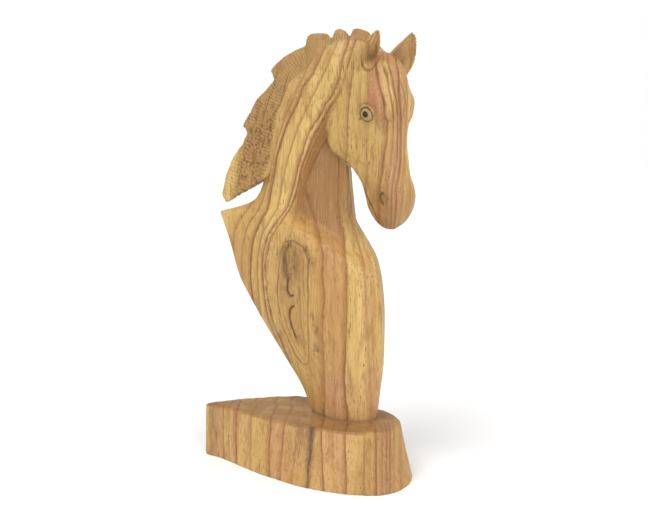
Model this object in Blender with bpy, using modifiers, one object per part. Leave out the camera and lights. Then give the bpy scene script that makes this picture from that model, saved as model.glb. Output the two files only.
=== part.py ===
"""Horse head sculpture: one solid piece of driftwood carved as head, neck, chest and leaf-shaped stand.

The figure's own tables are in steps, 350 of them to the figure's height above the stand. In them x runs
forward, y to the horse's left and z up from the top of the stand. The finished part is in metres with its
underside on z = 0.
"""
import math

import bmesh
import bpy
import numpy as np

# Driving dimensions, metres
OVERALL_HEIGHT = 0.403
STAND_HEIGHT = 0.0534
FIGURE_HEIGHT = OVERALL_HEIGHT - STAND_HEIGHT
STEPS_TALL = 350.0
STEP = FIGURE_HEIGHT / STEPS_TALL
STAND_FLARE = 0.0125
STAND_EDGE_ROUND = 0.0011
STAND_COLUMNS = 84

# How the stand's side flares: at this share of its height it has this share of the flare
FLARE_KNEE = 0.5
FLARE_AT_KNEE = 0.45

# The rim's rounding is one slanted facet and one steeper one, this share of it high and deep
RIM_FACET = 0.3

# How finely the carving is fused and how many facets it keeps
FUSE_CELL = 0.0016
FUSE_SMOOTHING = 5
CARVING_FACETS = 8300
BUST_GRID = (150, 56)
MANE_GRID = (300, 20)
HEAD_GRID = (110, 44)
EAR_GRID = (26, 22)

# The head: where its frame stands on the neck, and how far it turns to the horse's right
POLL = (79.5, -17.0, 322.5)
HEAD_TURN = math.radians(-29)

WOOD_COLOUR = (0.52, 0.36, 0.18, 1.0)
WOOD_ROUGHNESS = 0.55

# Stations across the neck and chest, 0 at the back edge and 1 at the front edge
ACROSS = (0.0, 0.10, 0.25, 0.40, 0.55, 0.70, 0.85, 0.95, 1.0)

# Neck and chest sections from the foot to the poll: back x z and front x z, half thickness at each station,
# and how far the section stands to the left
FOOT = (4.0, 9.0, 14.0, 17.0, 18.0, 17.5, 14.5, 11.0, 7.0)
CHEST = (3.5, 8.5, 15.0, 21.0, 25.0, 26.0, 21.5, 14.5, 9.0)
NECK = (5.0, 12.0, 18.0, 18.5, 17.5, 16.0, 14.0, 12.0, 9.5)
BUST = (
    ((12, -6, 70, -6), FOOT, 0),
    ((0, 24, 73, 24), (4, 9.5, 15, 18.5, 20.5, 20, 17, 12.5, 8), 0),
    ((-22, 60, 76, 60), (3.5, 9, 15, 20, 23, 23.5, 19.5, 13.5, 8.5), 0),
    ((-44, 95, 76, 94), CHEST, 0),
    ((-62.5, 131, 73, 129), (3.5, 8, 14.5, 21, 26, 27, 22, 14.5, 9), 0),
    ((-68.5, 153, 68, 150), (3.5, 8, 14, 20.5, 25.5, 26, 21, 14, 9.5), 0),
    ((-74.5, 173, 57, 170), (3.5, 7.5, 13, 19.5, 23, 22.5, 18.5, 13.5, 9.5), 0),
    ((-80.5, 190, 48.5, 185), (3, 7, 12.5, 18.5, 20.5, 19.5, 16.5, 13, 9.5), 0),
    ((-60, 195.2, 47, 194.5), (3.5, 8.5, 15, 18.5, 19, 17.5, 15.5, 12.5, 9.5), 0),
    ((-45, 202, 46, 205), (4, 10.5, 17, 18.5, 18, 16.5, 14.5, 12, 9.5), 0),
    ((-36.5, 216, 44.5, 217), NECK, 0),
    ((-31, 238, 43, 235), NECK, 0),
    ((-27, 256, 42.5, 249), NECK, 0),
    ((-21, 276, 45, 262), NECK, 0),
    ((-10, 300, 49, 278), NECK, -1),
    ((8, 318, 55, 288), (5, 11.5, 16.5, 18, 17.5, 16, 14, 12, 9), -3),
    ((28, 335, 63, 296), (5, 11, 15, 17, 17.5, 17, 15, 12, 9), -5),
    ((48, 339, 72, 305), (5, 10, 13, 15, 16, 16, 15, 12, 9), -8),
    ((62, 333, 78, 312), (4, 7, 9, 10, 10, 10, 9, 7, 5), -12),
)

# The withers stand out furthest to the back, and there the back line turns sharply
WITHERS = min(range(len(BUST)), key=lambda row: BUST[row][0][0])

# The hollow scooped from each side of the neck: its upper and lower edge, x z, from below the jowl round to
# the chest, how far it takes to sink, and the half thickness left at its bottom
HOLLOW_EDGE = (
    (36, 294), (29, 284), (21, 271), (13, 258), (7.5, 243), (3, 230), (0, 218), (-5, 203), (-11, 191),
    (-6, 180),
    (8, 172), (22, 165), (34, 158), (48, 149), (64, 138), (84, 128),
)
HOLLOW_SINK = 13.0
HOLLOW_LEFT_NEAR = 6.0
HOLLOW_LEFT_FAR = 9.5
HOLLOW_FRONT = 84.0

# Mane blade: inner x z inside the neck, outer x z along the cut locks
MANE = (
    (68, 316, 77.5, 325), (60, 320, 68, 335.5), (54, 324, 60.5, 345.5), (46, 326, 52, 349),
    (43, 326, 47, 349),
    (42.5, 326, 44.5, 342), (41, 326, 40.5, 347.5), (35, 325, 35, 350.5), (31, 324, 31, 349),
    (29, 322, 28, 341.5),
    (26, 320, 23.5, 346.5), (20, 317, 15.5, 347.5), (14, 313, 8.5, 347), (11, 311, 5.3, 343.5),
    (8, 308, 3.8, 336),
    (2, 303, -4, 333.5), (-4, 297, -16, 327.5), (-9, 290, -23, 322), (-11, 286, -28.5, 316.5),
    (-12, 282, -25, 308.5),
    (-14, 276, -33.2, 300), (-16, 268, -42.5, 291), (-17, 262, -47.5, 282.5), (-18, 254, -56.5, 268.5),
    (-19, 250, -51.5, 262.3), (-21, 241, -58.3, 250.5), (-23, 234, -66.5, 239.5), (-26, 227, -73.5, 224.5),
    (-28.5, 224, -78.5, 206), (-31, 222, -74.5, 197.5),
)
MANE_ACROSS = (0.0, 0.5, 0.85, 1.0)
MANE_HALF = (7.0, 5.4, 3.8, 2.4)
MANE_LEAN = ((0, -9), (3, -7), (12, -1), (29, 0))

# Head sections down from the poll: how far down, face and throat forward of the poll, and half widths at
# the stations from the face to the throat
HEAD_ACROSS = (0.0, 0.10, 0.25, 0.40, 0.55, 0.70, 0.85, 1.0)
HEAD = (
    (-5, -6, -24, (3, 6, 8, 8, 7, 6, 5, 3)),
    (0, 2, -32, (7, 13, 16, 16.5, 16, 14, 11, 7)),
    (10, 9, -44, (9, 17, 20, 20.5, 20, 19, 15, 8)),
    (23, 12, -52, (10.5, 20.5, 22.5, 21.5, 20.5, 19.5, 17, 9)),
    (36, 14.5, -56, (12.5, 26, 25, 22, 20.5, 20.5, 18.5, 9.5)),
    (46, 14.5, -59, (11.5, 24, 22.5, 20.5, 20.5, 21, 20, 10)),
    (55, 14, -60, (8.5, 18.5, 18.5, 19, 20.5, 21.5, 20.5, 10)),
    (66, 14.5, -60, (7.5, 16.3, 16.5, 17.5, 19.5, 21, 20.5, 9.5)),
    (76, 15.3, -55, (7, 15.6, 15.5, 16, 18, 19.5, 19, 8.5)),
    (83, 15.7, -44.5, (7, 15.4, 15, 15.5, 16.5, 17, 16.5, 7.5)),
    (90, 16.3, -34.5, (7, 15.4, 15, 15, 15, 15, 14.5, 6.5)),
    (97, 17.5, -28.5, (7.5, 15.6, 15.2, 15, 14.5, 14, 13, 6)),
    (106, 19, -22, (9, 18.3, 18, 16, 14.5, 13, 12, 6)),
    (114, 20.5, -19, (10, 18.8, 19, 17, 15, 13, 11.5, 6)),
    (122, 20.3, -17, (9.5, 17.5, 18, 16.5, 14.5, 12.5, 11, 6)),
    (131, 18, -12.5, (7.5, 13.5, 15, 14.5, 13, 11.5, 9, 5)),
    (138, 13, -7, (5, 9, 10, 10, 9, 8, 6, 3.5)),
    (142.5, 8, -1, (1.5, 2.5, 3.5, 3.5, 3, 2.5, 2, 1.5)),
)

# Ears in the head's frame: base and tip as forward, right, down, and which way the leaf opens
EARS = (
    {"base": (-9.0, 19.0, 12.0), "tip": (4.0, 20.0, -19.5), "opens": 50.0,
     "side": 1.0, "width": 9.0, "bow": 1.5},
    {"base": (-4.0, -12.5, 12.0), "tip": (8.0, -24.0, -21.5), "opens": 4.0,
     "side": -1.0, "width": 12.5, "bow": 5.0},
)
EAR_ALONG = (0.0, 0.2, 0.45, 0.7, 0.88, 1.0)
EAR_WIDTH = (0.78, 0.95, 1.0, 0.80, 0.50, 0.24)
EAR_DEPTH = (8.0, 8.5, 7.5, 5.6, 4.0, 2.4)
EAR_WALL = (3.8, 3.6, 3.2, 2.8, 2.4, 1.8)

# The rim is this share of the wall thick
EAR_RIM = 0.55

# Marks cut in the head, as forward, right, down, with their reach and depth; both sides alike
EYE = (-7.0, 46.5)
EYE_REACH = 5.6
EYE_RISE = 0.7
SOCKET_REACH = 10.0
SOCKET_DEPTH = 1.5
SOCKET_FILLED = 0.4
NOSTRIL = ((8.0, 110.0), (10.0, 115.5), (13.0, 120.0))
NOSTRIL_REACH = 2.8
NOSTRIL_DEPTH = 2.6
MOUTH = ((-14.3, 112.1), (-9.8, 118.7), (-5.3, 125.2), (-0.9, 132.0))
MOUTH_REACH = 1.9
MOUTH_DEPTH = 1.3
JAW_GROOVE = ((-44, 60), (-36, 76), (-24, 86))
JAW_REACH = 5.0
JAW_DEPTH = 0.8

# The cuts reach only this far in from the head's middle, down from the poll and back from it
SIDE_FROM = 8.0
CUTS_BELOW = 20.0
CUTS_AHEAD_OF = -75.0

# Stand outline at its top, x y in steps, from the rear tip round the right side and back by the left
STAND_TOP = (
    (-98.5, -8), (-81, -11), (-49, -21.5), (-28, -28), (8, -35.5), (30, -38.5), (50, -39), (70, -37),
    (84, -31),
    (92.5, -19.5), (94.5, -7), (90, 4), (79, 16), (60, 26.5), (30, 33), (-5, 34), (-24, 31), (-46, 23),
    (-74, 9.5),
    (-92, -1),
)
FLARE_ALONG = ((-98, 0.14), (-80, 0.28), (-40, 0.62), (10, 1.0), (94, 0.95))


def eased_through(keys, values, at):
    """Monotone cubic through (keys, values), so that nothing swells past a key."""
    x = np.asarray(keys, float)
    y = np.asarray(values, float)
    flat = y.ndim == 1
    if flat:
        y = y[:, None]
    gap = np.diff(x)[:, None]
    slope = np.diff(y, axis=0) / gap
    ahead = 2 * gap[1:] + gap[:-1]
    behind = gap[1:] + 2 * gap[:-1]
    rising = slope[:-1] * slope[1:] > 0
    before = np.where(rising, slope[:-1], 1.0)
    after = np.where(rising, slope[1:], 1.0)
    inner = np.where(rising, (ahead + behind) / (ahead / before + behind / after), 0.0)
    lean = np.concatenate([slope[:1], inner, slope[-1:]])
    at = np.clip(np.asarray(at, float), x[0], x[-1])
    k = np.clip(np.searchsorted(x, at, side="right") - 1, 0, len(x) - 2)
    t = ((at - x[k]) / (x[k + 1] - x[k]))[:, None]
    out = y[k] * (1 + 2 * t) * (1 - t) ** 2 + lean[k] * gap[k] * t * (1 - t) ** 2
    out = out + y[k + 1] * t * t * (3 - 2 * t) + lean[k + 1] * gap[k] * t * t * (t - 1)
    return out[:, 0] if flat else out


def slab(ends, halves, stations, shift, rows, columns, straight=(), corner=0):
    """Rows of rings between a back line and a front line, halves thick on either side of y = shift.

    The columns of ends named straight run in straight pieces; the back line turns sharply at row corner.
    """
    keys = np.arange(len(ends))
    at = np.linspace(0, len(ends) - 1, rows)
    ends = np.asarray(ends, float)
    line = eased_through(keys, ends, at)
    for column in straight:
        line[:, column] = np.interp(at, keys, ends[:, column])
    if corner:
        below = at < corner
        line[below, :2] = eased_through(keys[: corner + 1], ends[: corner + 1, :2], at[below])
        line[~below, :2] = eased_through(keys[corner:], ends[corner:, :2], at[~below])
    half = eased_through(keys, np.asarray(halves, float), at)
    shifts = eased_through(keys, np.asarray(shift, float), at)[:, None]
    u = 0.5 - 0.5 * np.cos(np.linspace(0, math.pi, columns))
    width = eased_through(stations, half.T, u).T
    x = line[:, :1] + (line[:, 2:3] - line[:, :1]) * u
    z = line[:, 1:2] + (line[:, 3:4] - line[:, 1:2]) * u
    near = np.stack([x, shifts - width, z], -1)
    far = np.stack([x, shifts + width, z], -1)
    return np.concatenate([near, far[:, ::-1]], 1)


def polyline_distance(points, path):
    """Distance of each point to an open line of straight pieces."""
    best = np.full(len(points), 1e9)
    for a, b in zip(path[:-1], path[1:]):
        a = np.asarray(a, float)
        d = np.asarray(b, float) - a
        t = np.clip(((points - a) @ d) / (d @ d), 0, 1)
        best = np.minimum(best, np.linalg.norm(points - a - t[:, None] * d, axis=1))
    return best


def inside_polygon(points, corners):
    """Whether each point lies inside the closed outline."""
    inside = np.zeros(len(points), bool)
    x, y = points[:, 0], points[:, 1]
    for (x0, y0), (x1, y1) in zip(corners, corners[1:] + corners[:1]):
        if y0 == y1:
            continue
        crosses = (y0 > y) != (y1 > y)
        inside ^= crosses & (x < x0 + (y - y0) * (x1 - x0) / (y1 - y0))
    return inside


def smooth_step(t):
    t = np.clip(t, 0, 1)
    return t * t * (3 - 2 * t)


def bust():
    """Neck and chest, with the hollow scooped from both sides."""
    ends = [row[0] for row in BUST]
    halves = [row[1] for row in BUST]
    shift = [row[2] for row in BUST]
    grid = slab(ends, halves, ACROSS, shift, *BUST_GRID, corner=WITHERS)
    flat = grid.reshape(-1, 3)
    side = flat[:, [0, 2]]
    corners = list(HOLLOW_EDGE) + [(HOLLOW_FRONT, HOLLOW_EDGE[0][1])]
    sunk = smooth_step(polyline_distance(side, HOLLOW_EDGE) / HOLLOW_SINK) * inside_polygon(side, corners)
    bottom = np.where(flat[:, 1] < 0, -HOLLOW_LEFT_NEAR, HOLLOW_LEFT_FAR)
    deeper = np.abs(flat[:, 1]) > np.abs(bottom)
    flat[:, 1] += np.where(deeper, (bottom - flat[:, 1]) * sunk, 0)
    return grid


def mane():
    """The thin blade of the mane, its outer edge cut into locks."""
    keys = np.arange(len(MANE))
    lean = np.interp(keys, [row[0] for row in MANE_LEAN], [row[1] for row in MANE_LEAN])
    return slab(MANE, [MANE_HALF] * len(MANE), MANE_ACROSS, lean, *MANE_GRID, straight=(0, 1, 2, 3))


def from_head(points):
    """Forward, right and down of the poll, to the figure's x, y, z."""
    c, s = math.cos(HEAD_TURN), math.sin(HEAD_TURN)
    f, r, d = points[..., 0], points[..., 1], points[..., 2]
    return np.stack([POLL[0] + f * c + r * s, POLL[1] + f * s - r * c, POLL[2] - d], -1)


def to_head(points):
    """The figure's x, y, z to forward, right and down of the poll."""
    c, s = math.cos(HEAD_TURN), math.sin(HEAD_TURN)
    x, y = points[..., 0] - POLL[0], points[..., 1] - POLL[1]
    return np.stack([x * c + y * s, x * s - y * c, POLL[2] - points[..., 2]], -1)


def head():
    """The skull, from the poll down to the lips."""
    ends = [(face, -down, throat, -down) for down, face, throat, _ in HEAD]
    halves = [row[3] for row in HEAD]
    grid = slab(ends, halves, HEAD_ACROSS, [0] * len(HEAD), *HEAD_GRID)
    return from_head(np.stack([grid[..., 0], -grid[..., 1], -grid[..., 2]], -1))


def ear(shape):
    """A cupped leaf from the skull to its tip."""
    s = np.linspace(0, 1, EAR_GRID[0])
    base = np.array(shape["base"])
    axis = np.array(shape["tip"]) - base
    turn = math.radians(shape["opens"])
    opens = np.array([math.cos(turn), math.sin(turn) * shape["side"], 0.0])
    along = axis / np.linalg.norm(axis)
    opens -= along * (opens @ along)
    opens /= np.linalg.norm(opens)
    across = np.cross(along, opens)
    width = shape["width"] * eased_through(EAR_ALONG, EAR_WIDTH, s)[:, None]
    depth = eased_through(EAR_ALONG, EAR_DEPTH, s)[:, None]
    wall = eased_through(EAR_ALONG, EAR_WALL, s)[:, None]
    turn_round = np.linspace(0, math.pi, EAR_GRID[1])
    c, d = np.cos(turn_round), np.sin(turn_round)
    inner = width - wall * EAR_RIM
    scoop = depth - wall
    side = np.concatenate([width * c, inner * c[::-1]], 1)
    back = np.concatenate([-depth * d, -scoop * d[::-1]], 1)
    outward = np.array([0.0, shape["side"], 0.0]) * shape["bow"]
    middle = base + s[:, None] * axis + (4 * s * (1 - s))[:, None] * outward
    return from_head(middle[:, None] + side[..., None] * across + back[..., None] * opens)


def closed_curve(points, count):
    """A smooth closed line through the points."""
    p = np.asarray(points, float)
    n = len(p)
    t = np.linspace(0, n, count, endpoint=False)
    k = np.floor(t).astype(int)
    f = (t - k)[:, None]
    a, b, c, d = p[(k - 1) % n], p[k % n], p[(k + 1) % n], p[(k + 2) % n]
    return 0.5 * (2 * b + (c - a) * f + (2 * a - 5 * b + 4 * c - d) * f**2 + (3 * b - a - 3 * c + d) * f**3)


def stand():
    """The leaf-shaped stand in metres, flaring down to a flat underside at z = 0."""
    top = closed_curve(STAND_TOP, STAND_COLUMNS) * STEP
    tangent = np.roll(top, -1, 0) - np.roll(top, 1, 0)
    tangent /= np.linalg.norm(tangent, axis=1)[:, None]
    outward = np.stack([tangent[:, 1], -tangent[:, 0]], 1)
    along = [row[0] * STEP for row in FLARE_ALONG]
    flare = STAND_FLARE * np.interp(top[:, 0], along, [row[1] for row in FLARE_ALONG])[:, None]
    rise = STAND_HEIGHT
    facet = STAND_EDGE_ROUND * RIM_FACET
    levels = (
        (0.0, flare),
        (rise * FLARE_KNEE, flare * FLARE_AT_KNEE),
        (rise - STAND_EDGE_ROUND, 0.0),
        (rise - facet, -facet),
        (rise, -STAND_EDGE_ROUND),
    )
    rings = [np.concatenate([top + outward * out, np.full((len(top), 1), z)], 1) for z, out in levels]
    return np.stack(rings)


def mesh_of(name, grids):
    """Close each grid of rings with a cap at either end and gather them in one mesh."""
    build = bmesh.new()
    for grid in grids:
        rings = [[build.verts.new(point) for point in ring] for ring in grid.tolist()]
        count = len(rings[0])
        for low, high in zip(rings[:-1], rings[1:]):
            for k in range(count):
                build.faces.new((low[k], low[(k + 1) % count], high[(k + 1) % count], high[k]))
        caps = [build.faces.new(rings[0][::-1]), build.faces.new(rings[-1])]
        bmesh.ops.triangulate(build, faces=caps)
    bmesh.ops.recalc_face_normals(build, faces=build.faces[:])
    mesh = bpy.data.meshes.new(name)
    build.to_mesh(mesh)
    build.free()
    return mesh


def add_object(name, mesh, collection):
    thing = bpy.data.objects.new(name, mesh)
    collection.objects.link(thing)
    return thing


def evaluated_mesh(thing):
    """The mesh as its modifiers leave it."""
    bpy.context.view_layer.update()
    graph = bpy.context.evaluated_depsgraph_get()
    return bpy.data.meshes.new_from_object(thing.evaluated_get(graph))


def coordinates(mesh):
    flat = np.zeros(len(mesh.vertices) * 3, np.float32)
    mesh.vertices.foreach_get("co", flat)
    return flat.reshape(-1, 3).astype(float)


def edge_pairs(mesh):
    flat = np.zeros(len(mesh.edges) * 2, np.int32)
    mesh.edges.foreach_get("vertices", flat)
    return flat.reshape(-1, 2)


def relaxed(points, edges, rounds):
    """Move each point halfway to the middle of its neighbours, rounds times over."""
    degree = np.bincount(edges.ravel(), minlength=len(points))[:, None]
    for _ in range(rounds):
        total = np.zeros_like(points)
        np.add.at(total, edges[:, 0], points[edges[:, 1]])
        np.add.at(total, edges[:, 1], points[edges[:, 0]])
        points = points + (total / degree - points) * 0.5
    return points


def carve_head(points):
    """Cut the eyes, nostrils, mouth and jaw groove on both sides of the head, in the figure's steps."""
    local = to_head(points)
    right = np.sign(local[:, 1])
    on_side = (np.abs(local[:, 1]) > SIDE_FROM) & (local[:, 2] > CUTS_BELOW) & (local[:, 0] > CUTS_AHEAD_OF)
    spot = local[:, [0, 2]]
    from_eye = np.linalg.norm(spot - np.array(EYE), axis=1)
    push = -SOCKET_DEPTH * np.exp(-((from_eye / SOCKET_REACH) ** 4))
    ball = np.sqrt(np.clip(1 - (from_eye / EYE_REACH) ** 2, 0, 1))
    push += (EYE_RISE + SOCKET_DEPTH * SOCKET_FILLED) * ball
    push -= NOSTRIL_DEPTH * np.exp(-((polyline_distance(spot, NOSTRIL) / NOSTRIL_REACH) ** 2))
    push -= MOUTH_DEPTH * np.exp(-((polyline_distance(spot, MOUTH) / MOUTH_REACH) ** 2))
    push -= JAW_DEPTH * np.exp(-((polyline_distance(spot, JAW_GROOVE) / JAW_REACH) ** 2))
    local[:, 1] += np.where(on_side, push * right, 0)
    return from_head(local)


def wood(name):
    material = bpy.data.materials.new(name)
    material.use_nodes = True
    shader = material.node_tree.nodes["Principled BSDF"]
    shader.inputs["Base Color"].default_value = WOOD_COLOUR
    shader.inputs["Roughness"].default_value = WOOD_ROUGHNESS
    return material


def carved_figure():
    """The figure fused to one skin, relaxed, and cut on the head; in metres, its root inside the stand."""
    forms = [bust(), mane(), head()] + [ear(shape) for shape in EARS]
    rough = bpy.data.objects.new("rough", mesh_of("rough", [form * STEP for form in forms]))
    bpy.context.scene.collection.objects.link(rough)
    fuse = rough.modifiers.new("fuse", "REMESH")
    fuse.mode = "VOXEL"
    fuse.voxel_size = FUSE_CELL
    fuse.adaptivity = 0.0
    skin = evaluated_mesh(rough)
    points = relaxed(coordinates(skin), edge_pairs(skin), FUSE_SMOOTHING)
    points = carve_head(points / STEP) * STEP
    points[:, 2] += STAND_HEIGHT
    skin.vertices.foreach_set("co", points.ravel())
    skin.update()
    bpy.data.objects.remove(rough)
    return skin


def main():
    for thing in list(bpy.data.objects):
        bpy.data.objects.remove(thing)
    parts = bpy.data.collections.new("horse_head_sculpture")
    cutters = bpy.data.collections.new("cutters")
    bpy.context.scene.collection.children.link(parts)
    bpy.context.scene.collection.children.link(cutters)

    carving = add_object("horse_head_carving", carved_figure(), parts)
    block = add_object("stand_block", mesh_of("stand_block", [stand()]), cutters)
    block.hide_render = True
    block.display_type = "WIRE"

    thin = carving.modifiers.new("facets", "DECIMATE")
    thin.ratio = CARVING_FACETS / (2.0 * len(carving.data.polygons))
    join = carving.modifiers.new("with_stand", "BOOLEAN")
    join.operation = "UNION"
    join.solver = "EXACT"
    join.object = block
    carving.data.materials.append(wood("driftwood"))


main()
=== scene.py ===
"""Horse head carved from one block of driftwood together with its leaf-shaped stand.

Shapes are worked out in steps, 350 of them to the figure's height above the stand, each nearly a millimetre:
x forward, y to the horse's left, z up from the top of the stand. Meshes are in metres, underside on z = 0.
"""
import math

import bmesh
import bpy
import numpy as np
from mathutils import Matrix, Vector


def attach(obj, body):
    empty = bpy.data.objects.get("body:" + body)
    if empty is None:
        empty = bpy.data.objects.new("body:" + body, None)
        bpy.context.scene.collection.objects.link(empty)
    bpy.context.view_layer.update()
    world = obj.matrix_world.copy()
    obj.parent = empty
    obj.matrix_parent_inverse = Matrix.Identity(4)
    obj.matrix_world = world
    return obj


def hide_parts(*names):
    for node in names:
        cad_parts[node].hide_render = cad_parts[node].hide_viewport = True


OVERALL_HEIGHT = 0.403
STAND_HEIGHT = 0.0534
STEPS_TALL = 350.0
STEP = (OVERALL_HEIGHT - STAND_HEIGHT) / STEPS_TALL
STAND_FLARE = 0.0125 / STEP
STAND_TALL = STAND_HEIGHT / STEP

POLL = (79.5, -17.0, 322.5)
HEAD_TURN = math.radians(-29)

# The bust: rows of back x z, front x z, half thicknesses from back to front, and sideways shift
ACROSS = (0.0, 0.10, 0.25, 0.40, 0.55, 0.70, 0.85, 0.95, 1.0)
FOOT = (4.0, 9.0, 14.0, 17.0, 18.0, 17.5, 14.5, 11.0, 7.0)
CHEST = (3.5, 8.5, 15.0, 21.0, 25.0, 26.0, 21.5, 14.5, 9.0)
NECK = (5.0, 12.0, 18.0, 18.5, 17.5, 16.0, 14.0, 12.0, 9.5)
BUST = (
    ((12, -6, 70, -6), FOOT, 0),
    ((0, 24, 73, 24), (4, 9.5, 15, 18.5, 20.5, 20, 17, 12.5, 8), 0),
    ((-22, 60, 76, 60), (3.5, 9, 15, 20, 23, 23.5, 19.5, 13.5, 8.5), 0),
    ((-44, 95, 76, 94), CHEST, 0),
    ((-62.5, 131, 73, 129), (3.5, 8, 14.5, 21, 26, 27, 22, 14.5, 9), 0),
    ((-68.5, 153, 68, 150), (3.5, 8, 14, 20.5, 25.5, 26, 21, 14, 9.5), 0),
    ((-74.5, 173, 57, 170), (3.5, 7.5, 13, 19.5, 23, 22.5, 18.5, 13.5, 9.5), 0),
    ((-80.5, 190, 48.5, 185), (3, 7, 12.5, 18.5, 20.5, 19.5, 16.5, 13, 9.5), 0),
    ((-60, 195.2, 47, 194.5), (3.5, 8.5, 15, 18.5, 19, 17.5, 15.5, 12.5, 9.5), 0),
    ((-45, 202, 46, 205), (4, 10.5, 17, 18.5, 18, 16.5, 14.5, 12, 9.5), 0),
    ((-36.5, 216, 44.5, 217), NECK, 0),
    ((-31, 238, 43, 235), NECK, 0),
    ((-27, 256, 42.5, 249), NECK, 0),
    ((-21, 276, 45, 262), NECK, 0),
    ((-10, 300, 49, 278), NECK, -1),
    ((8, 318, 55, 288), (5, 11.5, 16.5, 18, 17.5, 16, 14, 12, 9), -3),
    ((28, 335, 63, 296), (5, 11, 15, 17, 17.5, 17, 15, 12, 9), -5),
    ((48, 339, 72, 305), (5, 10, 13, 15, 16, 16, 15, 12, 9), -8),
    ((62, 333, 78, 312), (4, 7, 9, 10, 10, 10, 9, 7, 5), -12),
)
WITHERS = min(range(len(BUST)), key=lambda row: BUST[row][0][0])
BUST_GRID = (260, 90)

# The hollow in each side of the neck: its edge, x z, how far it takes to sink, and the half thickness left
HOLLOW_EDGE = (
    (36, 294), (29, 284), (21, 271), (13, 258), (7.5, 243), (3, 230), (0, 218), (-5, 203), (-11, 191),
    (-6, 180), (8, 172), (22, 165), (34, 158), (48, 149), (64, 138), (84, 128),
)
HOLLOW_FRONT = 84.0
HOLLOW_CORNERS = HOLLOW_EDGE + ((HOLLOW_FRONT, HOLLOW_EDGE[0][1]),)
HOLLOW_SINK = 12.0
HOLLOW_LEFT_NEAR = 6.0
HOLLOW_LEFT_FAR = 9.5

# The mane's blade: inner x z inside the neck, outer x z along the cut locks
MANE = (
    (68, 316, 77.5, 325), (60, 320, 68, 335), (54, 324, 60.5, 344.4), (46, 326, 52, 347.6),
    (43, 326, 47, 347.6), (42.5, 326, 44.5, 341), (41, 326, 40.5, 346.2), (35, 325, 35, 348.9),
    (31, 324, 31, 347.6), (29, 322, 28, 340.5), (26, 320, 23.5, 345.4), (20, 317, 15.5, 346.3),
    (14, 313, 8.5, 346), (11, 311, 5.3, 343.5), (8, 308, 3.8, 336), (2, 303, -4, 333.5),
    (-4, 297, -16, 327.5), (-9, 290, -23, 322), (-11, 286, -28.5, 316.5), (-12, 282, -25, 308.5),
    (-14, 276, -33.2, 300), (-16, 268, -42.5, 291), (-17, 262, -47.5, 282.5), (-18, 254, -56.5, 268.5),
    (-19, 250, -51.5, 262.3), (-21, 241, -58.3, 250.5), (-23, 234, -66.5, 239.5), (-26, 227, -73.5, 224.5),
    (-28.5, 224, -78.5, 206), (-31, 222, -74.5, 197.5),
)
MANE_ACROSS = (0.0, 0.4, 0.8, 0.96, 1.0)
MANE_HALF = (14.0, 8.6, 4.4, 2.9, 1.6)
MANE_LEAN = ((0, -9), (3, -7), (12, -1), (29, 0))
MANE_GRID = (500, 40)

# The skull below the poll: depth, face line, throat line, half widths from face to throat
HEAD_ACROSS = (0.0, 0.10, 0.25, 0.40, 0.55, 0.70, 0.85, 1.0)
HEAD = (
    (-5, -6, -24, (3, 6, 8, 8, 7, 6, 5, 3)),
    (0, 2, -32, (7, 13, 16, 16.5, 16, 14, 11, 7)),
    (10, 9, -44, (9, 17, 20, 20.5, 20, 19, 15, 8)),
    (23, 12, -52, (10.5, 20.5, 22.5, 21.5, 20.5, 19.5, 17, 9)),
    (36, 14.5, -56, (12.5, 26, 25, 22, 20.5, 20.5, 18.5, 9.5)),
    (46, 14.5, -59, (11.5, 24, 22.5, 20.5, 20.5, 21, 20, 10)),
    (55, 14, -60, (8.5, 18.5, 18.5, 19, 20.5, 21.5, 20.5, 10)),
    (66, 14.5, -60, (7.5, 16.3, 16.5, 17.5, 19.5, 21, 20.5, 9.5)),
    (76, 15.3, -55, (7, 15.6, 15.5, 16, 18, 19.5, 19, 8.5)),
    (83, 15.7, -44.5, (7, 15.4, 15, 15.5, 16.5, 17, 16.5, 7.5)),
    (90, 16.3, -34.5, (7, 15.4, 15, 15, 15, 15, 14.5, 6.5)),
    (97, 17.5, -28.5, (7.5, 15.6, 15.2, 15, 14.5, 14, 13, 6)),
    (106, 19, -22, (9, 18.3, 18, 16, 14.5, 13, 12, 6)),
    (114, 20.5, -19, (10, 18.8, 19, 17, 15, 13, 11.5, 6)),
    (122, 20.3, -17, (9.5, 17.5, 18, 16.5, 14.5, 12.5, 11, 6)),
    (131, 18, -12.5, (7.5, 13.5, 15, 14.5, 13, 11.5, 9, 5)),
    (138, 13, -7, (5, 9, 10, 10, 9, 8, 6, 3.5)),
    (142.5, 8, -1, (1.5, 2.5, 3.5, 3.5, 3, 2.5, 2, 1.5)),
)

HEAD_GRID = (200, 72)

# Ears in the head's frame: forward, right, down, the way the leaf opens, its bow and its wider foot
EARS = (
    {"base": (-9.0, 19.0, 12.0), "tip": (4.0, 20.0, -18.5), "opens": 50.0, "side": 1.0, "width": 7.2,
     "bow": 1.5, "foot": 0.0},
    {"base": (-4.0, -10.0, 12.0), "tip": (8.0, -24.0, -20.5), "opens": 4.0, "side": -1.0, "width": 12.5,
     "bow": 5.0, "foot": 0.6},
)
EAR_ALONG = (0.0, 0.2, 0.45, 0.7, 0.88, 1.0)
EAR_WIDTH = (0.78, 0.95, 1.0, 0.80, 0.50, 0.24)
EAR_DEPTH = (8.0, 8.5, 7.5, 5.6, 4.0, 2.4)
EAR_WALL = (3.0, 2.6, 2.2, 1.9, 1.7, 1.5)
EAR_RIM = 0.55
EAR_GRID = (60, 40)
BOWL_HALF = 5.0
BOWL_MIDDLE = 13.5
BOWL_FOOT = 9.0
BOWL_DEEP = 4.6

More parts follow.
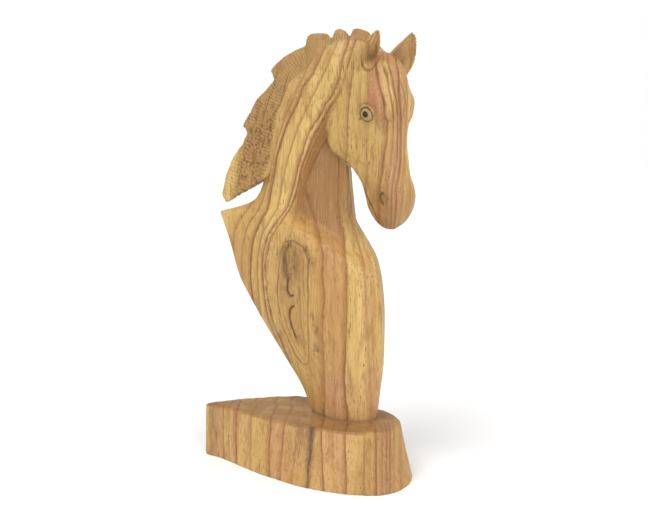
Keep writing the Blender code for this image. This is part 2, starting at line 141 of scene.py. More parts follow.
# Marks of the head as forward, down
EYE = (-7.0, 46.7)
EYE_STRETCH = 1.34
EYEBALL = 5.2
EYE_RING = 5.5
PUPIL_REACH = 2.9
EYE_TAIL = ((-11.5, 47.0), (-13.5, 48.5), (-15.5, 50.5))
NOSTRIL_SLIT = ((9.5, 110.4), (7.0, 111.6), (6.0, 114.5), (6.8, 117.6), (9.0, 119.6))
NOSTRIL_HOLE = (9.8, 115.5)
NOSTRIL_REACH = (3.6, 5.0)
MOUTH = ((-17.0, 108.5), (-14.3, 112.1), (-9.8, 118.7), (-5.3, 125.2), (-0.9, 132.5), (3.0, 138.0))
JAW_GROOVE = ((-40, 70), (-36, 78), (-29, 83.5), (-21, 88))
SIDE_FROM = 8.0

# Sight coordinate: these shares of forward and right
SIGHT = (0.7313, -0.682)

# Furrows of the forehead as sight coordinate and depth below the poll
FURROWS = (
    ((-13, 3), (-11.3, 14), (-8.8, 26), (-5.7, 37), (-4.4, 48), (-2, 54), (-2.6, 66), (-4.4, 80)),
    ((-7, 4), (-5.7, 10), (-2.5, 19), (-0.6, 31), (1.9, 42), (2.8, 50), (2.8, 60)),
    ((-2.5, 3), (0.6, 16), (3.2, 26), (5.7, 38), (6.5, 47)),
    ((5.2, 3), (7.6, 18), (6.9, 30), (8.8, 42), (9.5, 51), (9.6, 70), (9.0, 84)),
)

# The stand's outline at its top, x y, and the share of the flare at each x
STAND_TOP = (
    (-98.5, -8), (-81, -11), (-49, -21.5), (-28, -28), (8, -35.5), (30, -38.5), (50, -39), (70, -37),
    (84, -31), (92.5, -19.5), (94.5, -7), (90, 4), (79, 16), (60, 26.5), (30, 33), (-5, 34), (-24, 31),
    (-46, 23), (-74, 9.5), (-92, -1),
)
FLARE_ALONG = ((-98, 0.14), (-80, 0.28), (-40, 0.62), (10, 1.0), (94, 0.95))

# The knot in the chest: its outer ring, its two open cracks and a hair crack, x z
KNOT = (
    (5.5, 49.4), (9.5, 54), (10.3, 72.6), (11, 85.8), (11.8, 111.8), (11.2, 134.7), (12.6, 150), (8.8, 162),
    (-1.5, 168), (-10.6, 166), (-15.5, 155), (-18.5, 138), (-19.7, 117.7), (-19.3, 102), (-16.8, 86.5),
    (-10.3, 69.7), (-5.1, 59.5), (0.2, 52),
)
CRACKS = (
    ((-8.8, 131), (-9.8, 121), (-7.2, 116), (-4.2, 117)),
    ((-4.0, 107), (-7.8, 103), (-8.8, 95), (-6.8, 86), (-2.9, 76)),
)
HAIR_CRACK = ((2.7, 125.4), (3.3, 111.3), (2.5, 98.2), (4.4, 81.4), (8.3, 71.1))
HOLLOW_CREASE = ((3.0, 232), (4.0, 221), (6.5, 208), (9.5, 196), (12.5, 184), (16, 176))

# The mane: its root line, where its cuts begin, the middle of the slot below it, its rows of pits and the
# line that the cuts are counted along, with their pitch at both ends and its length
MANE_ROOT = (
    (70, 329), (60, 334), (50, 336.5), (40, 337), (30, 335.5), (24, 330), (18, 312), (6.7, 300), (1.5, 288),
    (-6.3, 274), (-11.5, 263), (-15.5, 252), (-19.6, 240), (-22.5, 225), (-29, 219),
)
MANE_BAND = (
    (70, 329), (60, 334), (50, 336.5), (40, 337), (30, 335.5), (22, 328), (12, 318), (0, 309), (-9, 303),
    (-14.5, 293), (-19.5, 276.5), (-23.6, 259.5), (-26.5, 239.7), (-29.3, 231), (-34, 219),
)
SLOT_MIDDLE = ((-36, 217.5), (-44, 209.5), (-52.5, 204.2), (-63, 198.8), (-75, 194.5), (-120, 189))
MANE_BEYOND = ((-120, 400), (110, 400), (90, 325))
PIT_ROWS = (
    ((-8.7, 318), (-13.4, 300.5), (-17.4, 283.8), (-20.9, 269.3), (-25.1, 249.6), (-29.3, 231), (-32.1, 222)),
    ((-18.2, 323.4),
     (-26.3, 298.5),
     (-33.2, 280.4),
     (-37.4, 264.5),
     (-41.1, 247.1),
     (-44.1, 229.5),
     (-46.4, 219)),
    ((-30.6, 296.3),
     (-38.8, 284.2),
     (-43.4, 270),
     (-47.4, 253.4),
     (-53, 242.1),
     (-57.4, 228.1),
     (-60.4, 214)),
)
STROKE_LINE = (
    (74, 328), (60, 335), (45, 339), (30, 340), (15, 338), (0, 330), (-12, 320), (-22, 308), (-29, 290),
    (-35, 272), (-40, 254), (-45, 230), (-52, 200),
)
STROKE_PITCH = (2.3, 3.3)
STROKES_LONG = 190.0

# Growth rings in the block, as sheets seen edge-on from the near side: heights, and x at each of them
SHEETS = (
    ((-54, 0, 120, 200, 330), (-90, -90, -92, -94, -60)),
    ((-54, 0, 120, 150, 162, 171, 183, 193, 205, 240, 270, 300, 334),
     (-77, -77, -66, -64.5, -63.5, -61.2, -55.4, -48.4, -42, -33, -24, -10, 8)),
    ((-54, 0, 120, 150, 171, 183, 193, 205, 225, 250, 275, 300, 334),
     (-71, -71, -57, -55.5, -51, -45, -38, -33, -27, -20, -11, 2, 17)),
    ((-54, 0, 60, 100, 120, 130, 146, 159, 171, 184, 195, 212, 225, 240, 252, 263, 274, 288, 300, 311, 334),
     (-62, -62, -48, -46, -46.8, -47.3, -46.3, -44.6, -41, -34.1, -28, -25.3, -22.5, -19.6, -15.5, -11.5,
      -6.3, 1.5, 6.7, 16, 25)),
    ((-54, 0, 60, 100, 130, 150, 170, 185, 197, 212, 240, 263, 288, 311, 334),
     (-45, -45, -39, -39.5, -40, -38.5, -33.5, -25, -18, -15, -8, 0, 13, 26, 36)),
    ((-54, 0, 50, 74, 87, 103, 129, 143, 156, 167, 176, 186, 199, 215, 231, 243, 258, 271, 284, 294, 334),
     (-25.5, -25.5, -20, -24.5, -30, -33, -34.2, -34, -32, -29, -24, -16, -7.5, -2.5, 1, 5.5, 10.5, 18.5,
      26.5, 33.5, 46)),
    ((-54, 0, 24, 50, 74, 87, 103, 116, 143, 156, 167, 176, 186, 199, 215, 231, 243, 258, 271, 284, 294,
      334),
     (-14, -10, -6, -11, -20.5, -26.5, -29.7, -31.5, -31.7, -29.5, -26.6, -21.2, -13.2, -4.6, 0.5, 4.5, 9.5,
      15.5, 23, 31, 38, 52)),
    ((-54, 0, 24, 50, 74, 100, 130, 160, 180, 199, 215, 229, 243, 271, 294, 334),
     (-1.5, 3, 4, 0, -5, -12, -14, -10, -4, 1, 3, 7, 12, 27, 42, 56)),
    ((-54, 0, 50, 100, 140, 165, 185, 199, 215, 229, 243, 271, 294, 334),
     (8, 14, 12, 8, 8, 8, 6, 5, 5, 9, 15, 30, 44, 58)),
    ((-54, 0, 27, 67, 102, 120, 138, 153, 167, 183, 194, 205, 216, 229, 243, 271, 294, 334),
     (28.6, 24, 25, 24.4, 24.4, 25.7, 24.4, 24.4, 21.3, 16, 12.5, 9.5, 7.5, 11, 18, 34, 47, 61)),
    ((-54, 0, 60, 120, 160, 200, 243, 294, 334), (39, 36, 34.5, 35, 33, 26, 30, 53, 66)),
    ((-54, 0, 8, 29, 48, 64, 87, 105, 126, 141, 159, 178, 200, 243, 294, 334),
     (49, 48, 47.6, 45.5, 44.7, 45.3, 45.8, 45.7, 44.9, 44.8, 42.9, 40.9, 37.5, 36.5, 58, 72)),
    ((-54, 0, 60, 120, 160, 200, 243, 294, 334), (61, 58, 56, 54, 50, 42, 41, 63, 78)),
    ((-54, 0, 66, 81, 94, 113, 130, 148, 163, 180, 200, 243, 294, 334),
     (73, 69, 67.5, 67, 65.5, 63.4, 62.5, 59.8, 56, 50, 46, 45, 68, 84)),
    ((-54, 0, 66, 94, 113, 130, 150, 163, 180, 200, 243, 294, 334),
     (91, 80, 71.5, 71, 70, 69, 66, 61, 55, 50, 49, 74, 90)),
    ((-54, 0, 100, 200, 294, 334), (104, 95, 82, 60, 82, 100)),
)
SHEET_STRENGTH = (0.0, 0.7, 0.5, 1.0, 0.5, 0.9, 1.0, 0.3, 0.25, 0.9, 0.25, 1.0, 0.15, 0.5, 0.3, 0.25)

# The same in the head: depths below the poll, and the sight coordinate at each
HEAD_SHEETS = (
    ((-30, 150), (-60, -60)),
    ((-30, 5, 31, 47, 71, 83, 150), (-28, -28.6, -32.4, -33.5, -33.9, -34.4, -35)),
    ((-30, 0, 60, 150), (-23, -23, -25.5, -26)),
    ((-30, 0, 55, 95, 110, 150), (-18, -18, -17.8, -17.4, -18.3, -18)),
    ((-30, 0, 55, 110, 150), (-14.5, -14.5, -11, -13, -13)),
    ((-30, 14, 26, 37, 48, 53, 66, 80, 92, 108, 135),
     (-11.6, -11.3, -8.8, -5.7, -4.4, -2, -2.5, -4.4, -5.7, -7.6, -7.6)),
    ((-30, 6, 15, 29, 42, 50, 66, 80, 92, 108, 135), (-7, -5.7, -2.5, -0.6, 1.9, 2.8, 3, 1.5, 0, -2, -2)),
    ((-30, 5, 14, 25, 38, 50, 66, 80, 94, 110, 135), (-2, -1.9, 0.6, 3.2, 5.7, 6.5, 7, 6.5, 4.4, 1.4, 2)),
    ((-30, 4, 16, 29, 42, 51, 80, 94, 110, 135), (5, 5.7, 7.6, 7.9, 9, 9.6, 9.8, 8, 5, 5)),
    ((-30, 0, 50, 80, 110, 135), (14, 14, 15, 13, 11, 9)),
    ((-30, 50, 135), (21, 21, 16)),
    ((-30, 150), (34, 34)),
)
HEAD_SHEET_STRENGTH = (0.0, 0.75, 0.2, 0.55, 0.15, 0.9, 0.6, 0.75, 0.8, 0.45, 0.5, 0.0)

# The grid that the forms are fused on, in metres, and the triangles kept
CELL = 0.00082
TRIANGLES_KEPT = 195000


# ---- forms

def eased_through(keys, values, at):
    """Monotone cubic: h00(t) y0 + h10(t) w m0 + h01(t) y1 + h11(t) w m1 with harmonic mean slopes m."""
    x = np.asarray(keys, float)
    y = np.asarray(values, float)
    flat = y.ndim == 1
    if flat:
        y = y[:, None]
    gap = np.diff(x)[:, None]
    slope = np.diff(y, axis=0) / gap
    ahead = 2 * gap[1:] + gap[:-1]
    behind = gap[1:] + 2 * gap[:-1]
    rising = slope[:-1] * slope[1:] > 0
    before = np.where(rising, slope[:-1], 1.0)
    after = np.where(rising, slope[1:], 1.0)
    inner = np.where(rising, (ahead + behind) / (ahead / before + behind / after), 0.0)
    lean = np.concatenate([slope[:1], inner, slope[-1:]])
    at = np.clip(np.asarray(at, float), x[0], x[-1])
    k = np.clip(np.searchsorted(x, at, side="right") - 1, 0, len(x) - 2)
    t = ((at - x[k]) / (x[k + 1] - x[k]))[:, None]
    out = y[k] * (1 + 2 * t) * (1 - t) ** 2 + lean[k] * gap[k] * t * (1 - t) ** 2
    out = out + y[k + 1] * t * t * (3 - 2 * t) + lean[k + 1] * gap[k] * t * t * (t - 1)
    return out[:, 0] if flat else out


def slab(ends, halves, stations, shift, size, straight=(), corner=0):
    """P(s, u) = back(s) + u (front(s) - back(s)) in x and z, y = shift(s) -+ half(s, u), u by a cosine."""
    keys = np.arange(len(ends))
    at = np.linspace(0, len(ends) - 1, size[0])
    ends = np.asarray(ends, float)
    line = eased_through(keys, ends, at)
    for column in straight:
        line[:, column] = np.interp(at, keys, ends[:, column])
    if corner:
        below = at < corner
        line[below, :2] = eased_through(keys[: corner + 1], ends[: corner + 1, :2], at[below])
        line[~below, :2] = eased_through(keys[corner:], ends[corner:, :2], at[~below])
    half = eased_through(keys, np.asarray(halves, float), at)
    shifts = eased_through(keys, np.asarray(shift, float), at)[:, None]
    u = 0.5 - 0.5 * np.cos(np.linspace(0, math.pi, size[1]))
    width = eased_through(stations, half.T, u).T
    x = line[:, :1] + (line[:, 2:3] - line[:, :1]) * u
    z = line[:, 1:2] + (line[:, 3:4] - line[:, 1:2]) * u
    near = np.stack([x, shifts - width, z], -1)
    far = np.stack([x, shifts + width, z], -1)
    return np.concatenate([near, far[:, ::-1]], 1)


def along_polyline(points, path):
    """Least distance |p - a - t d| to the pieces of an open line, and the line's length up to that place."""
    best = np.full(len(points), 1e9)
    place = np.zeros(len(points))
    passed = 0.0
    for a, b in zip(path[:-1], path[1:]):
        a = np.asarray(a, float)
        d = np.asarray(b, float) - a
        t = np.clip(((points - a) @ d) / (d @ d), 0, 1)
        distance = np.linalg.norm(points - a - t[:, None] * d, axis=1)
        nearer = distance < best
        best = np.where(nearer, distance, best)
        place = np.where(nearer, passed + t * np.linalg.norm(d), place)
        passed += np.linalg.norm(d)
    return best, place


def off_line(points, path):
    """The least distance alone."""
    return along_polyline(points, path)[0]


def inside_polygon(points, corners):
    """True where a ray along +x crosses the outline an odd number of times."""
    inside = np.zeros(len(points), bool)
    x, y = points[:, 0], points[:, 1]
    for (x0, y0), (x1, y1) in zip(corners, corners[1:] + corners[:1]):
        if y0 == y1:
            continue
        crosses = (y0 > y) != (y1 > y)
        inside ^= crosses & (x < x0 + (y - y0) * (x1 - x0) / (y1 - y0))
    return inside


def ease(t, low=0.0, high=1.0):
    """s = (t - low) / (high - low) held to 0..1, then s^2 (3 - 2 s)."""
    t = np.clip((t - low) / (high - low), 0, 1)
    return t * t * (3 - 2 * t)


def bump(distance, reach):
    """exp(-(distance / reach)^2)"""
    return np.exp(-((distance / reach) ** 2))


def lattice(points, cell, seed):
    """Smooth noise from -1 to 1: eight hashed corner values of each cell, blended by t^2 (3 - 2 t)."""
    q = points / np.asarray(cell, float)
    base = np.floor(q).astype(np.int64)
    t = q - base
    t = t * t * (3 - 2 * t)
    total = np.zeros(len(points))
    for corner in range(8):
        i, j, k = corner & 1, corner >> 1 & 1, corner >> 2
        h = (base[:, 0] + i) * 374761393 + (base[:, 1] + j) * 668265263 + (base[:, 2] + k) * 2147483647
        h = (h + seed * 1274126177) & 0xFFFFFFFF
        h = ((h ^ (h >> 13)) * 1103515245) & 0xFFFFFFFF
        h = ((h ^ (h >> 16)) * 2654435761) & 0xFFFFFFFF
        value = (h ^ (h >> 15)) / 2147483648.0 - 1.0
        share = np.prod([t[:, axis] if upper else 1 - t[:, axis] for axis, upper in enumerate((i, j, k))], 0)
        total += value * share
    return total


def hollow_sunk(side):
    """ease(distance to the hollow's edge / its sink) inside the hollow, else 0."""
    return ease(off_line(side, HOLLOW_EDGE) / HOLLOW_SINK) * inside_polygon(side, HOLLOW_CORNERS)


def bust():
    """Neck and chest: a slab whose sides sink to the hollow's half thickness by the sunk share."""
    ends = [row[0] for row in BUST]
    halves = [row[1] for row in BUST]
    grid = slab(ends, halves, ACROSS, [row[2] for row in BUST], BUST_GRID, corner=WITHERS)
    flat = grid.reshape(-1, 3)
    bottom = np.where(flat[:, 1] < 0, -HOLLOW_LEFT_NEAR, HOLLOW_LEFT_FAR)
    deeper = np.abs(flat[:, 1]) > np.abs(bottom)
    flat[:, 1] += np.where(deeper, (bottom - flat[:, 1]) * hollow_sunk(flat[:, [0, 2]]), 0)
    return grid


def mane():
    """The mane's blade: a slab with straight pieces along its cut locks."""
    keys = np.arange(len(MANE))
    lean = np.interp(keys, *zip(*MANE_LEAN))
    return slab(MANE, [MANE_HALF] * len(MANE), MANE_ACROSS, lean, MANE_GRID, straight=(0, 1, 2, 3))


def from_head(points):
    """Forward, right and down of the poll, to x, y, z: the turn about z and the poll's place."""
    c, s = math.cos(HEAD_TURN), math.sin(HEAD_TURN)
    f, r, d = points[..., 0], points[..., 1], points[..., 2]
    return np.stack([POLL[0] + f * c + r * s, POLL[1] + f * s - r * c, POLL[2] - d], -1)


def to_head(points):
    """x, y, z to forward, right and down of the poll."""
    c, s = math.cos(HEAD_TURN), math.sin(HEAD_TURN)
    x, y = points[..., 0] - POLL[0], points[..., 1] - POLL[1]
    return np.stack([x * c + y * s, x * s - y * c, POLL[2] - points[..., 2]], -1)


def head():
    """The skull: a slab between the line of the face and the line of the throat, turned with the head."""
    ends = [(face, -down, throat, -down) for down, face, throat, _ in HEAD]
    halves = [row[3] for row in HEAD]
    grid = slab(ends, halves, HEAD_ACROSS, [0] * len(HEAD), HEAD_GRID)
    return from_head(np.stack([grid[..., 0], -grid[..., 1], -grid[..., 2]], -1))


def ear_axes(shape):
    """Unit vectors along the ear, across it and out of its hollow."""
    axis = np.array(shape["tip"]) - np.array(shape["base"])
    turn = math.radians(shape["opens"])
    opens = np.array([math.cos(turn), math.sin(turn) * shape["side"], 0.0])
    along = axis / np.linalg.norm(axis)
    opens -= along * (opens @ along)
    opens /= np.linalg.norm(opens)
    return axis, along, np.cross(along, opens), opens


def ear(shape):
    """P(s, a) = axis(s) + w(s) cos a across - d(s) sin a opens outside, and back along the thinner inside."""
    s = np.linspace(0, 1, EAR_GRID[0])
    axis, along, across, opens = ear_axes(shape)
    width = shape["width"] * eased_through(EAR_ALONG, EAR_WIDTH, s)[:, None]
    width *= 1 + shape["foot"] * (1 - s[:, None]) ** 2
    depth = eased_through(EAR_ALONG, EAR_DEPTH, s)[:, None]
    wall = eased_through(EAR_ALONG, EAR_WALL, s)[:, None]
    turn_round = np.linspace(0, math.pi, EAR_GRID[1])
    c, d = np.cos(turn_round), np.sin(turn_round)
    inner = width - wall * EAR_RIM
    scoop = depth - wall
    side = np.concatenate([width * c, inner * c[::-1]], 1)
    back = np.concatenate([-depth * d, -scoop * d[::-1]], 1)
    outward = np.array([0.0, shape["side"], 0.0]) * shape["bow"]
    middle = np.array(shape["base"]) + s[:, None] * axis + (4 * s * (1 - s))[:, None] * outward
    return from_head(middle[:, None] + side[..., None] * across + back[..., None] * opens)


def closed_curve(points, count):
    """Catmull-Rom: half of 2b + (c - a) f + (2a - 5b + 4c - d) f^2 + (3b - a - 3c + d) f^3, closed."""
    p = np.asarray(points, float)
    n = len(p)
    t = np.linspace(0, n, count, endpoint=False)
    k = np.floor(t).astype(int)
    f = (t - k)[:, None]
    a, b, c, d = p[(k - 1) % n], p[k % n], p[(k + 1) % n], p[(k + 2) % n]
    return 0.5 * (2 * b + (c - a) * f + (2 * a - 5 * b + 4 * c - d) * f**2 + (3 * b - a - 3 * c + d) * f**3)


def stand():
    """The leaf outline carried up the stand, pushed out by flare(x) times a share that falls with height."""
    top = closed_curve(STAND_TOP, 260)
    tangent = np.roll(top, -1, 0) - np.roll(top, 1, 0)
    tangent /= np.linalg.norm(tangent, axis=1)[:, None]
    outward = np.stack([tangent[:, 1], -tangent[:, 0]], 1)
    flare = STAND_FLARE * np.interp(top[:, 0], *zip(*FLARE_ALONG))[:, None]
    levels = (
        (-STAND_TALL, 1.0, 0.0), (-0.5 * STAND_TALL, 0.45, 0.0), (-1.1, 0.0, 0.0), (-0.3, 0.0, -0.3),
        (0.0, 0.0, -1.1),
    )
    rings = []
    for z, share, extra in levels:
        rings.append(np.concatenate([top + outward * (flare * share + extra), np.full((len(top), 1), z)], 1))
    return np.stack(rings)


# ---- meshes

def rings_mesh(name, grids):
    """One mesh of closed rings, row to row, with a flat cap at either end of each grid."""
    corners, faces, start = [], [], 0
    for grid in grids:
        rows, columns = grid.shape[:2]
        index = start + np.arange(rows * columns).reshape(rows, columns)
        right = np.roll(index, -1, 1)
        quads = np.stack([index[:-1], right[:-1], right[1:], index[1:]], -1).reshape(-1, 4)
        faces += quads.tolist() + [index[0, ::-1].tolist(), index[-1].tolist()]
        corners.append(grid.reshape(-1, 3))
        start += rows * columns
    mesh = bpy.data.meshes.new(name)
    mesh.from_pydata(np.concatenate(corners), [], faces)
    build = bmesh.new()
    build.from_mesh(mesh)
    bmesh.ops.triangulate(build, faces=[face for face in build.faces if len(face.verts) > 4])
    bmesh.ops.recalc_face_normals(build, faces=build.faces[:])
    build.to_mesh(mesh)
    build.free()
    return mesh


def with_modifier(mesh, kind, **settings):
    """The mesh after one modifier."""
    holder = bpy.data.objects.new("holder", mesh)
    bpy.context.scene.collection.objects.link(holder)
    modifier = holder.modifiers.new(kind.lower(), kind)
    for key, value in settings.items():
        setattr(modifier, key, value)
    bpy.context.view_layer.update()
    graph = bpy.context.evaluated_depsgraph_get()
    result = bpy.data.meshes.new_from_object(holder.evaluated_get(graph))
    bpy.data.objects.remove(holder)
    return result


def vertex_vectors(mesh, name):
    """The vertices' places (co) or normals (normal), a row each."""
    flat = np.zeros(len(mesh.vertices) * 3, np.float32)
    mesh.vertices.foreach_get(name, flat)
    return flat.reshape(-1, 3).astype(float)


def put_coordinates(mesh, points):
    """Moves the vertices to these places."""
    mesh.vertices.foreach_set("co", points.astype(np.float32).ravel())
    mesh.update()


def edge_pairs(mesh):
    """The two vertex numbers of each edge."""
    flat = np.zeros(len(mesh.edges) * 2, np.int32)
    mesh.edges.foreach_get("vertices", flat)
    return flat.reshape(-1, 2)


def neighbours_mean(values, edges):
    """Mean of each vertex's neighbours' values."""
    count = len(values)
    both = np.concatenate([edges[:, 0], edges[:, 1]])
    other = np.concatenate([edges[:, 1], edges[:, 0]])
    degree = np.bincount(both, minlength=count)
    if values.ndim == 1:
        return np.bincount(both, weights=values[other], minlength=count) / degree
    sums = [np.bincount(both, weights=column[other], minlength=count) for column in values.T]
    return np.stack(sums, 1) / degree[:, None]


def relaxed(values, edges, rounds, share=0.5):
    """v' = v + share (mean of the neighbours - v), rounds times."""
    for _ in range(rounds):
        values = values + (neighbours_mean(values, edges) - values) * share
    return values


def bend(points, normals, edges):
    """2 (mean of neighbours - p) . n / (mean squared edge length): above 0 in a crease, below 0 on a rim."""
    length = ((points[edges[:, 0]] - points[edges[:, 1]]) ** 2).sum(1)
    both = np.concatenate([edges[:, 0], edges[:, 1]])
    count = len(points)
    total = np.bincount(both, weights=np.concatenate([length, length]), minlength=count)
    squared = total / np.bincount(both, minlength=count)
    return 2 * ((neighbours_mean(points, edges) - points) * normals).sum(1) / squared


def refined(mesh, chosen):
    """Split once the edges between chosen vertices."""
    build = bmesh.new()
    build.from_mesh(mesh)
    build.verts.ensure_lookup_table()
    edges = [edge for edge in build.edges if chosen[edge.verts[0].index] and chosen[edge.verts[1].index]]
    bmesh.ops.subdivide_edges(build, edges=edges, cuts=1, use_grid_fill=True)
    build.to_mesh(mesh)
    build.free()


# ---- carving

def head_side(points):
    """Head coordinates, the side, and how far a point counts as on the side of the head."""
    local = to_head(points)
    counts = ease(np.abs(local[:, 1]), SIDE_FROM - 4, SIDE_FROM) * ease(local[:, 2], 14, 22)
    counts *= ease(local[:, 0], -72, -66)
    return local, np.sign(local[:, 1]), counts


def sight(local, mirrored=False):
    """SIGHT's shares of forward and right: across the head as it is seen from its right front."""
    right = np.abs(local[:, 1]) if mirrored else local[:, 1]
    return SIGHT[0] * local[:, 0] + SIGHT[1] * right


def eye_radius(spot):
    """Distance from the eye's middle, its forward part divided by the stretch."""
    return np.hypot((spot[:, 0] - EYE[0]) / EYE_STRETCH, spot[:, 1] - EYE[1])


def nostril_radius(spot):
    """Distance from the nostril's middle in parts of its two reaches."""
    return np.hypot(*((spot - NOSTRIL_HOLE) / NOSTRIL_REACH).T)


def cut_head(points):
    """Sockets, eyeballs, lids, nostrils, mouth and jaw line: pushed sideways by bumps of distance to each."""
    local, side, counts = head_side(points)
    spot = local[:, [0, 2]]
    r = eye_radius(spot)
    dz = spot[:, 1] - EYE[1]
    dx = spot[:, 0] - EYE[0]
    upper = ease(-dz, -3, 3)
    push = -1.7 * np.exp(-((r / 11.0) ** 4))
    push += 2.1 * np.sqrt(np.clip(1 - (r / EYEBALL) ** 2, 0, 1))
    push -= 0.75 * bump(r - 5.4, 0.5)
    push += (0.4 + 0.8 * upper) * bump(r - 6.8, 1.0)
    push -= 0.3 * upper * bump(r - 9.0, 1.0)
    push += 0.8 * bump(np.hypot(dx - 3, (dz + 13) * 0.6), 5.0)
    push -= 1.0 * bump(off_line(spot, EYE_TAIL), 0.7) * ease(r, 5, 6)
    slit = off_line(spot, NOSTRIL_SLIT)
    hole = nostril_radius(spot)
    push -= 1.5 * bump(slit, 0.9) + 1.1 * np.exp(-(hole**4))
    push += 0.6 * bump(hole - 1.5, 0.35)
    push += 0.5 * bump(off_line(spot, ((-2, 116), (3, 128), (8, 131))), 4.0)
    mouth = off_line(spot, MOUTH)
    push -= 1.5 * bump(mouth, 0.75)
    push += 0.45 * bump(mouth - 2.4, 1.3)
    push -= 0.5 * bump(off_line(spot, JAW_GROOVE), 3.5)
    push += 0.5 * bump(off_line(spot, ((-2, 58), (0, 75), (0, 92))), 3.5)
    local[:, 1] += push * side * counts
    shape = EARS[0]
    _, along, width_way, opens = ear_axes(shape)
    way = local - np.array(shape["base"])
    up, out, bowl = way @ along, way @ opens, ear_bowl(way @ along, way @ width_way)
    floor_at = -BOWL_DEEP * np.clip(1 - bowl**2, 0, 1)
    reach = ease(out, -6.0, -4.5) * ease(-up, -24, -15) * (out < 6)
    sunk = np.where((bowl < 1) & (out > floor_at), (floor_at - out) * reach, 0)
    low = ease(-up, -20, -9) * ease(out, -4, -1) * (out < 6)
    sunk += (0.9 * bump(bowl - 1.13, 0.09) - 0.8 * bump(bowl - 1.42, 0.12)) * low
    local += sunk[:, None] * opens
    return from_head(local)


def ear_bowl(up, across):
    """Distance from the middle line of the near ear's hollow, 1 on its rim: an ellipse closed at the foot."""
    half = BOWL_HALF - 1.6 * ease(up, 12, 26)
    return np.hypot(across / half, np.minimum(up - BOWL_MIDDLE, 0) / BOWL_FOOT)


def furrow_depth(points, normals):
    """exp(-(d / reach)^2) of the distance to the furrows, less a small ridge beside it, where the head looks
    forward: the depth, then the share painted dark as shade in the furrows."""
    local = to_head(points)
    down = local[:, 2]
    seen = np.stack([sight(local, True), down], 1)
    seen[:, 0] += 0.5 * lattice(points, (6, 6, 9), 5)
    forward = normals @ np.array([math.cos(HEAD_TURN), math.sin(HEAD_TURN), 0.0])
    here = ease(forward, -0.25, 0.25) * ease(local[:, 0], -18, -8)
    here *= ease(down, 2, 14) * (1 - 0.8 * ease(down, 48, 62)) * ease(-down, -86, -72)
    here *= 0.7 + 0.55 * lattice(points, (8, 8, 11), 6)
    distance = np.min([off_line(seen, path) for path in FURROWS], axis=0)
    return (0.95 * bump(distance, 0.8) - 0.3 * bump(distance - 2.0, 1.0)) * here, bump(distance, 0.8) * here


def mane_marks(points):
    """Distance past the root and past the cut line, depth and painted shade of the cuts, and the pale rim.

    Strokes are cos(2 pi phase)^1.5 above 0, the phase counted along the mane in a pitch that grows from near
    to far; pits are bumps of the distance to their rows, broken by the same cosine.
    """
    side = points[:, [0, 2]]
    x, z = side.T
    past_root, past_band = (
        off_line(side, edge) * np.where(inside_polygon(side, edge + SLOT_MIDDLE + MANE_BEYOND), 1, -1)
        for edge in (MANE_ROOT, MANE_BAND)
    )
    line = eased_through(np.arange(len(STROKE_LINE)), STROKE_LINE, np.linspace(0, len(STROKE_LINE) - 1, 60))
    along = along_polyline(side, line)[1]
    lower = ease(-z, -312, -262)
    band = np.zeros(len(points))
    for row in PIT_ROWS:
        row_x, row_z = np.array(row[::-1]).T
        band += (x < np.interp(z, row_z, row_x)) & (z < row[0][1])
    near, far = STROKE_PITCH
    pitch = near + (far - near) * along / STROKES_LONG
    phase = np.log(pitch / near) * STROKES_LONG / (far - near)
    phase = phase + 0.31 * band + 0.016 * past_band * (1 + lower) + 0.22 * lattice(points, (7, 30, 7), 62)
    stroke = np.maximum(np.cos(phase * 2 * math.pi), 0) ** 1.5
    depth = stroke * (0.3 + 0.16 * lower) * (0.65 + 0.6 * lattice(points, (5, 5, 5), 61))
    pits = np.zeros(len(points))
    for number, row in enumerate(PIT_ROWS):
        dash = np.clip(np.cos((phase * 0.93 + 0.37 * number) * 2 * math.pi) + 0.35, 0, 1)
        fade = ease(row[0][1] - z, 0, 14)
        pits = np.maximum(pits, bump(off_line(side, row), 0.95) * dash * fade)
    slanted = np.stack([along + 0.5 * past_band, past_band - 0.25 * along, np.zeros(len(points))], 1)
    scattered = np.clip(lattice(slanted, (3.3, 2.3, 1), 63) - 0.05, 0, 1) * 1.5 * lower
    rim = ease(-68.0 + (z - 200) * 0.16 - x, -6, 2) * ease(-z, -262, -236)
    pits = np.maximum(pits, scattered) * (1 - rim)
    depth = (depth * (1 - 0.7 * rim) + 0.95 * pits) * ease(past_band, -0.5, 2.0)
    # painted shade in the pits and strokes of the mane
    painted_shade = np.clip(pits + 0.4 * stroke * (0.4 + 0.6 * lower), 0, 1) * (past_band > 0)
    return past_root, past_band, depth, painted_shade, rim


def cut_wood(points, normals):
    """Sinks the knot's cracks, the furrows, the mane's cuts and root and the tool's slight unevenness."""
    near = ease(-points[:, 1], 2, 8)
    side = points[:, [0, 2]]
    sink = np.zeros(len(points))
    for number, path in enumerate(CRACKS):
        ragged = lattice(points, 2.6, 11 + number) * 0.45
        distance = off_line(side, path)
        sink += (1.3 * bump(np.maximum(distance + ragged, 0), 0.75) + 0.35 * bump(distance, 4.0)) * near
    sink += 0.35 * bump(off_line(side, HAIR_CRACK), 0.6) * near
    sink += 0.8 * bump(off_line(side, HOLLOW_CREASE), 1.7) * near
    sink += furrow_depth(points, normals)[0]
    past_root, past_band, depth, _, _ = mane_marks(points)
    sink += depth
    lower = ease(-points[:, 2], -322, -305)
    sink += 0.7 * bump(past_root, 0.9) * lower * (points[:, 2] > 215)
    above = points[:, 2] > 3
    sink += np.where(above, 0.2 * lattice(points, 14.0, 2) + 0.1 * lattice(points, 5.0, 3), 0)
    return points - normals * sink[:, None]


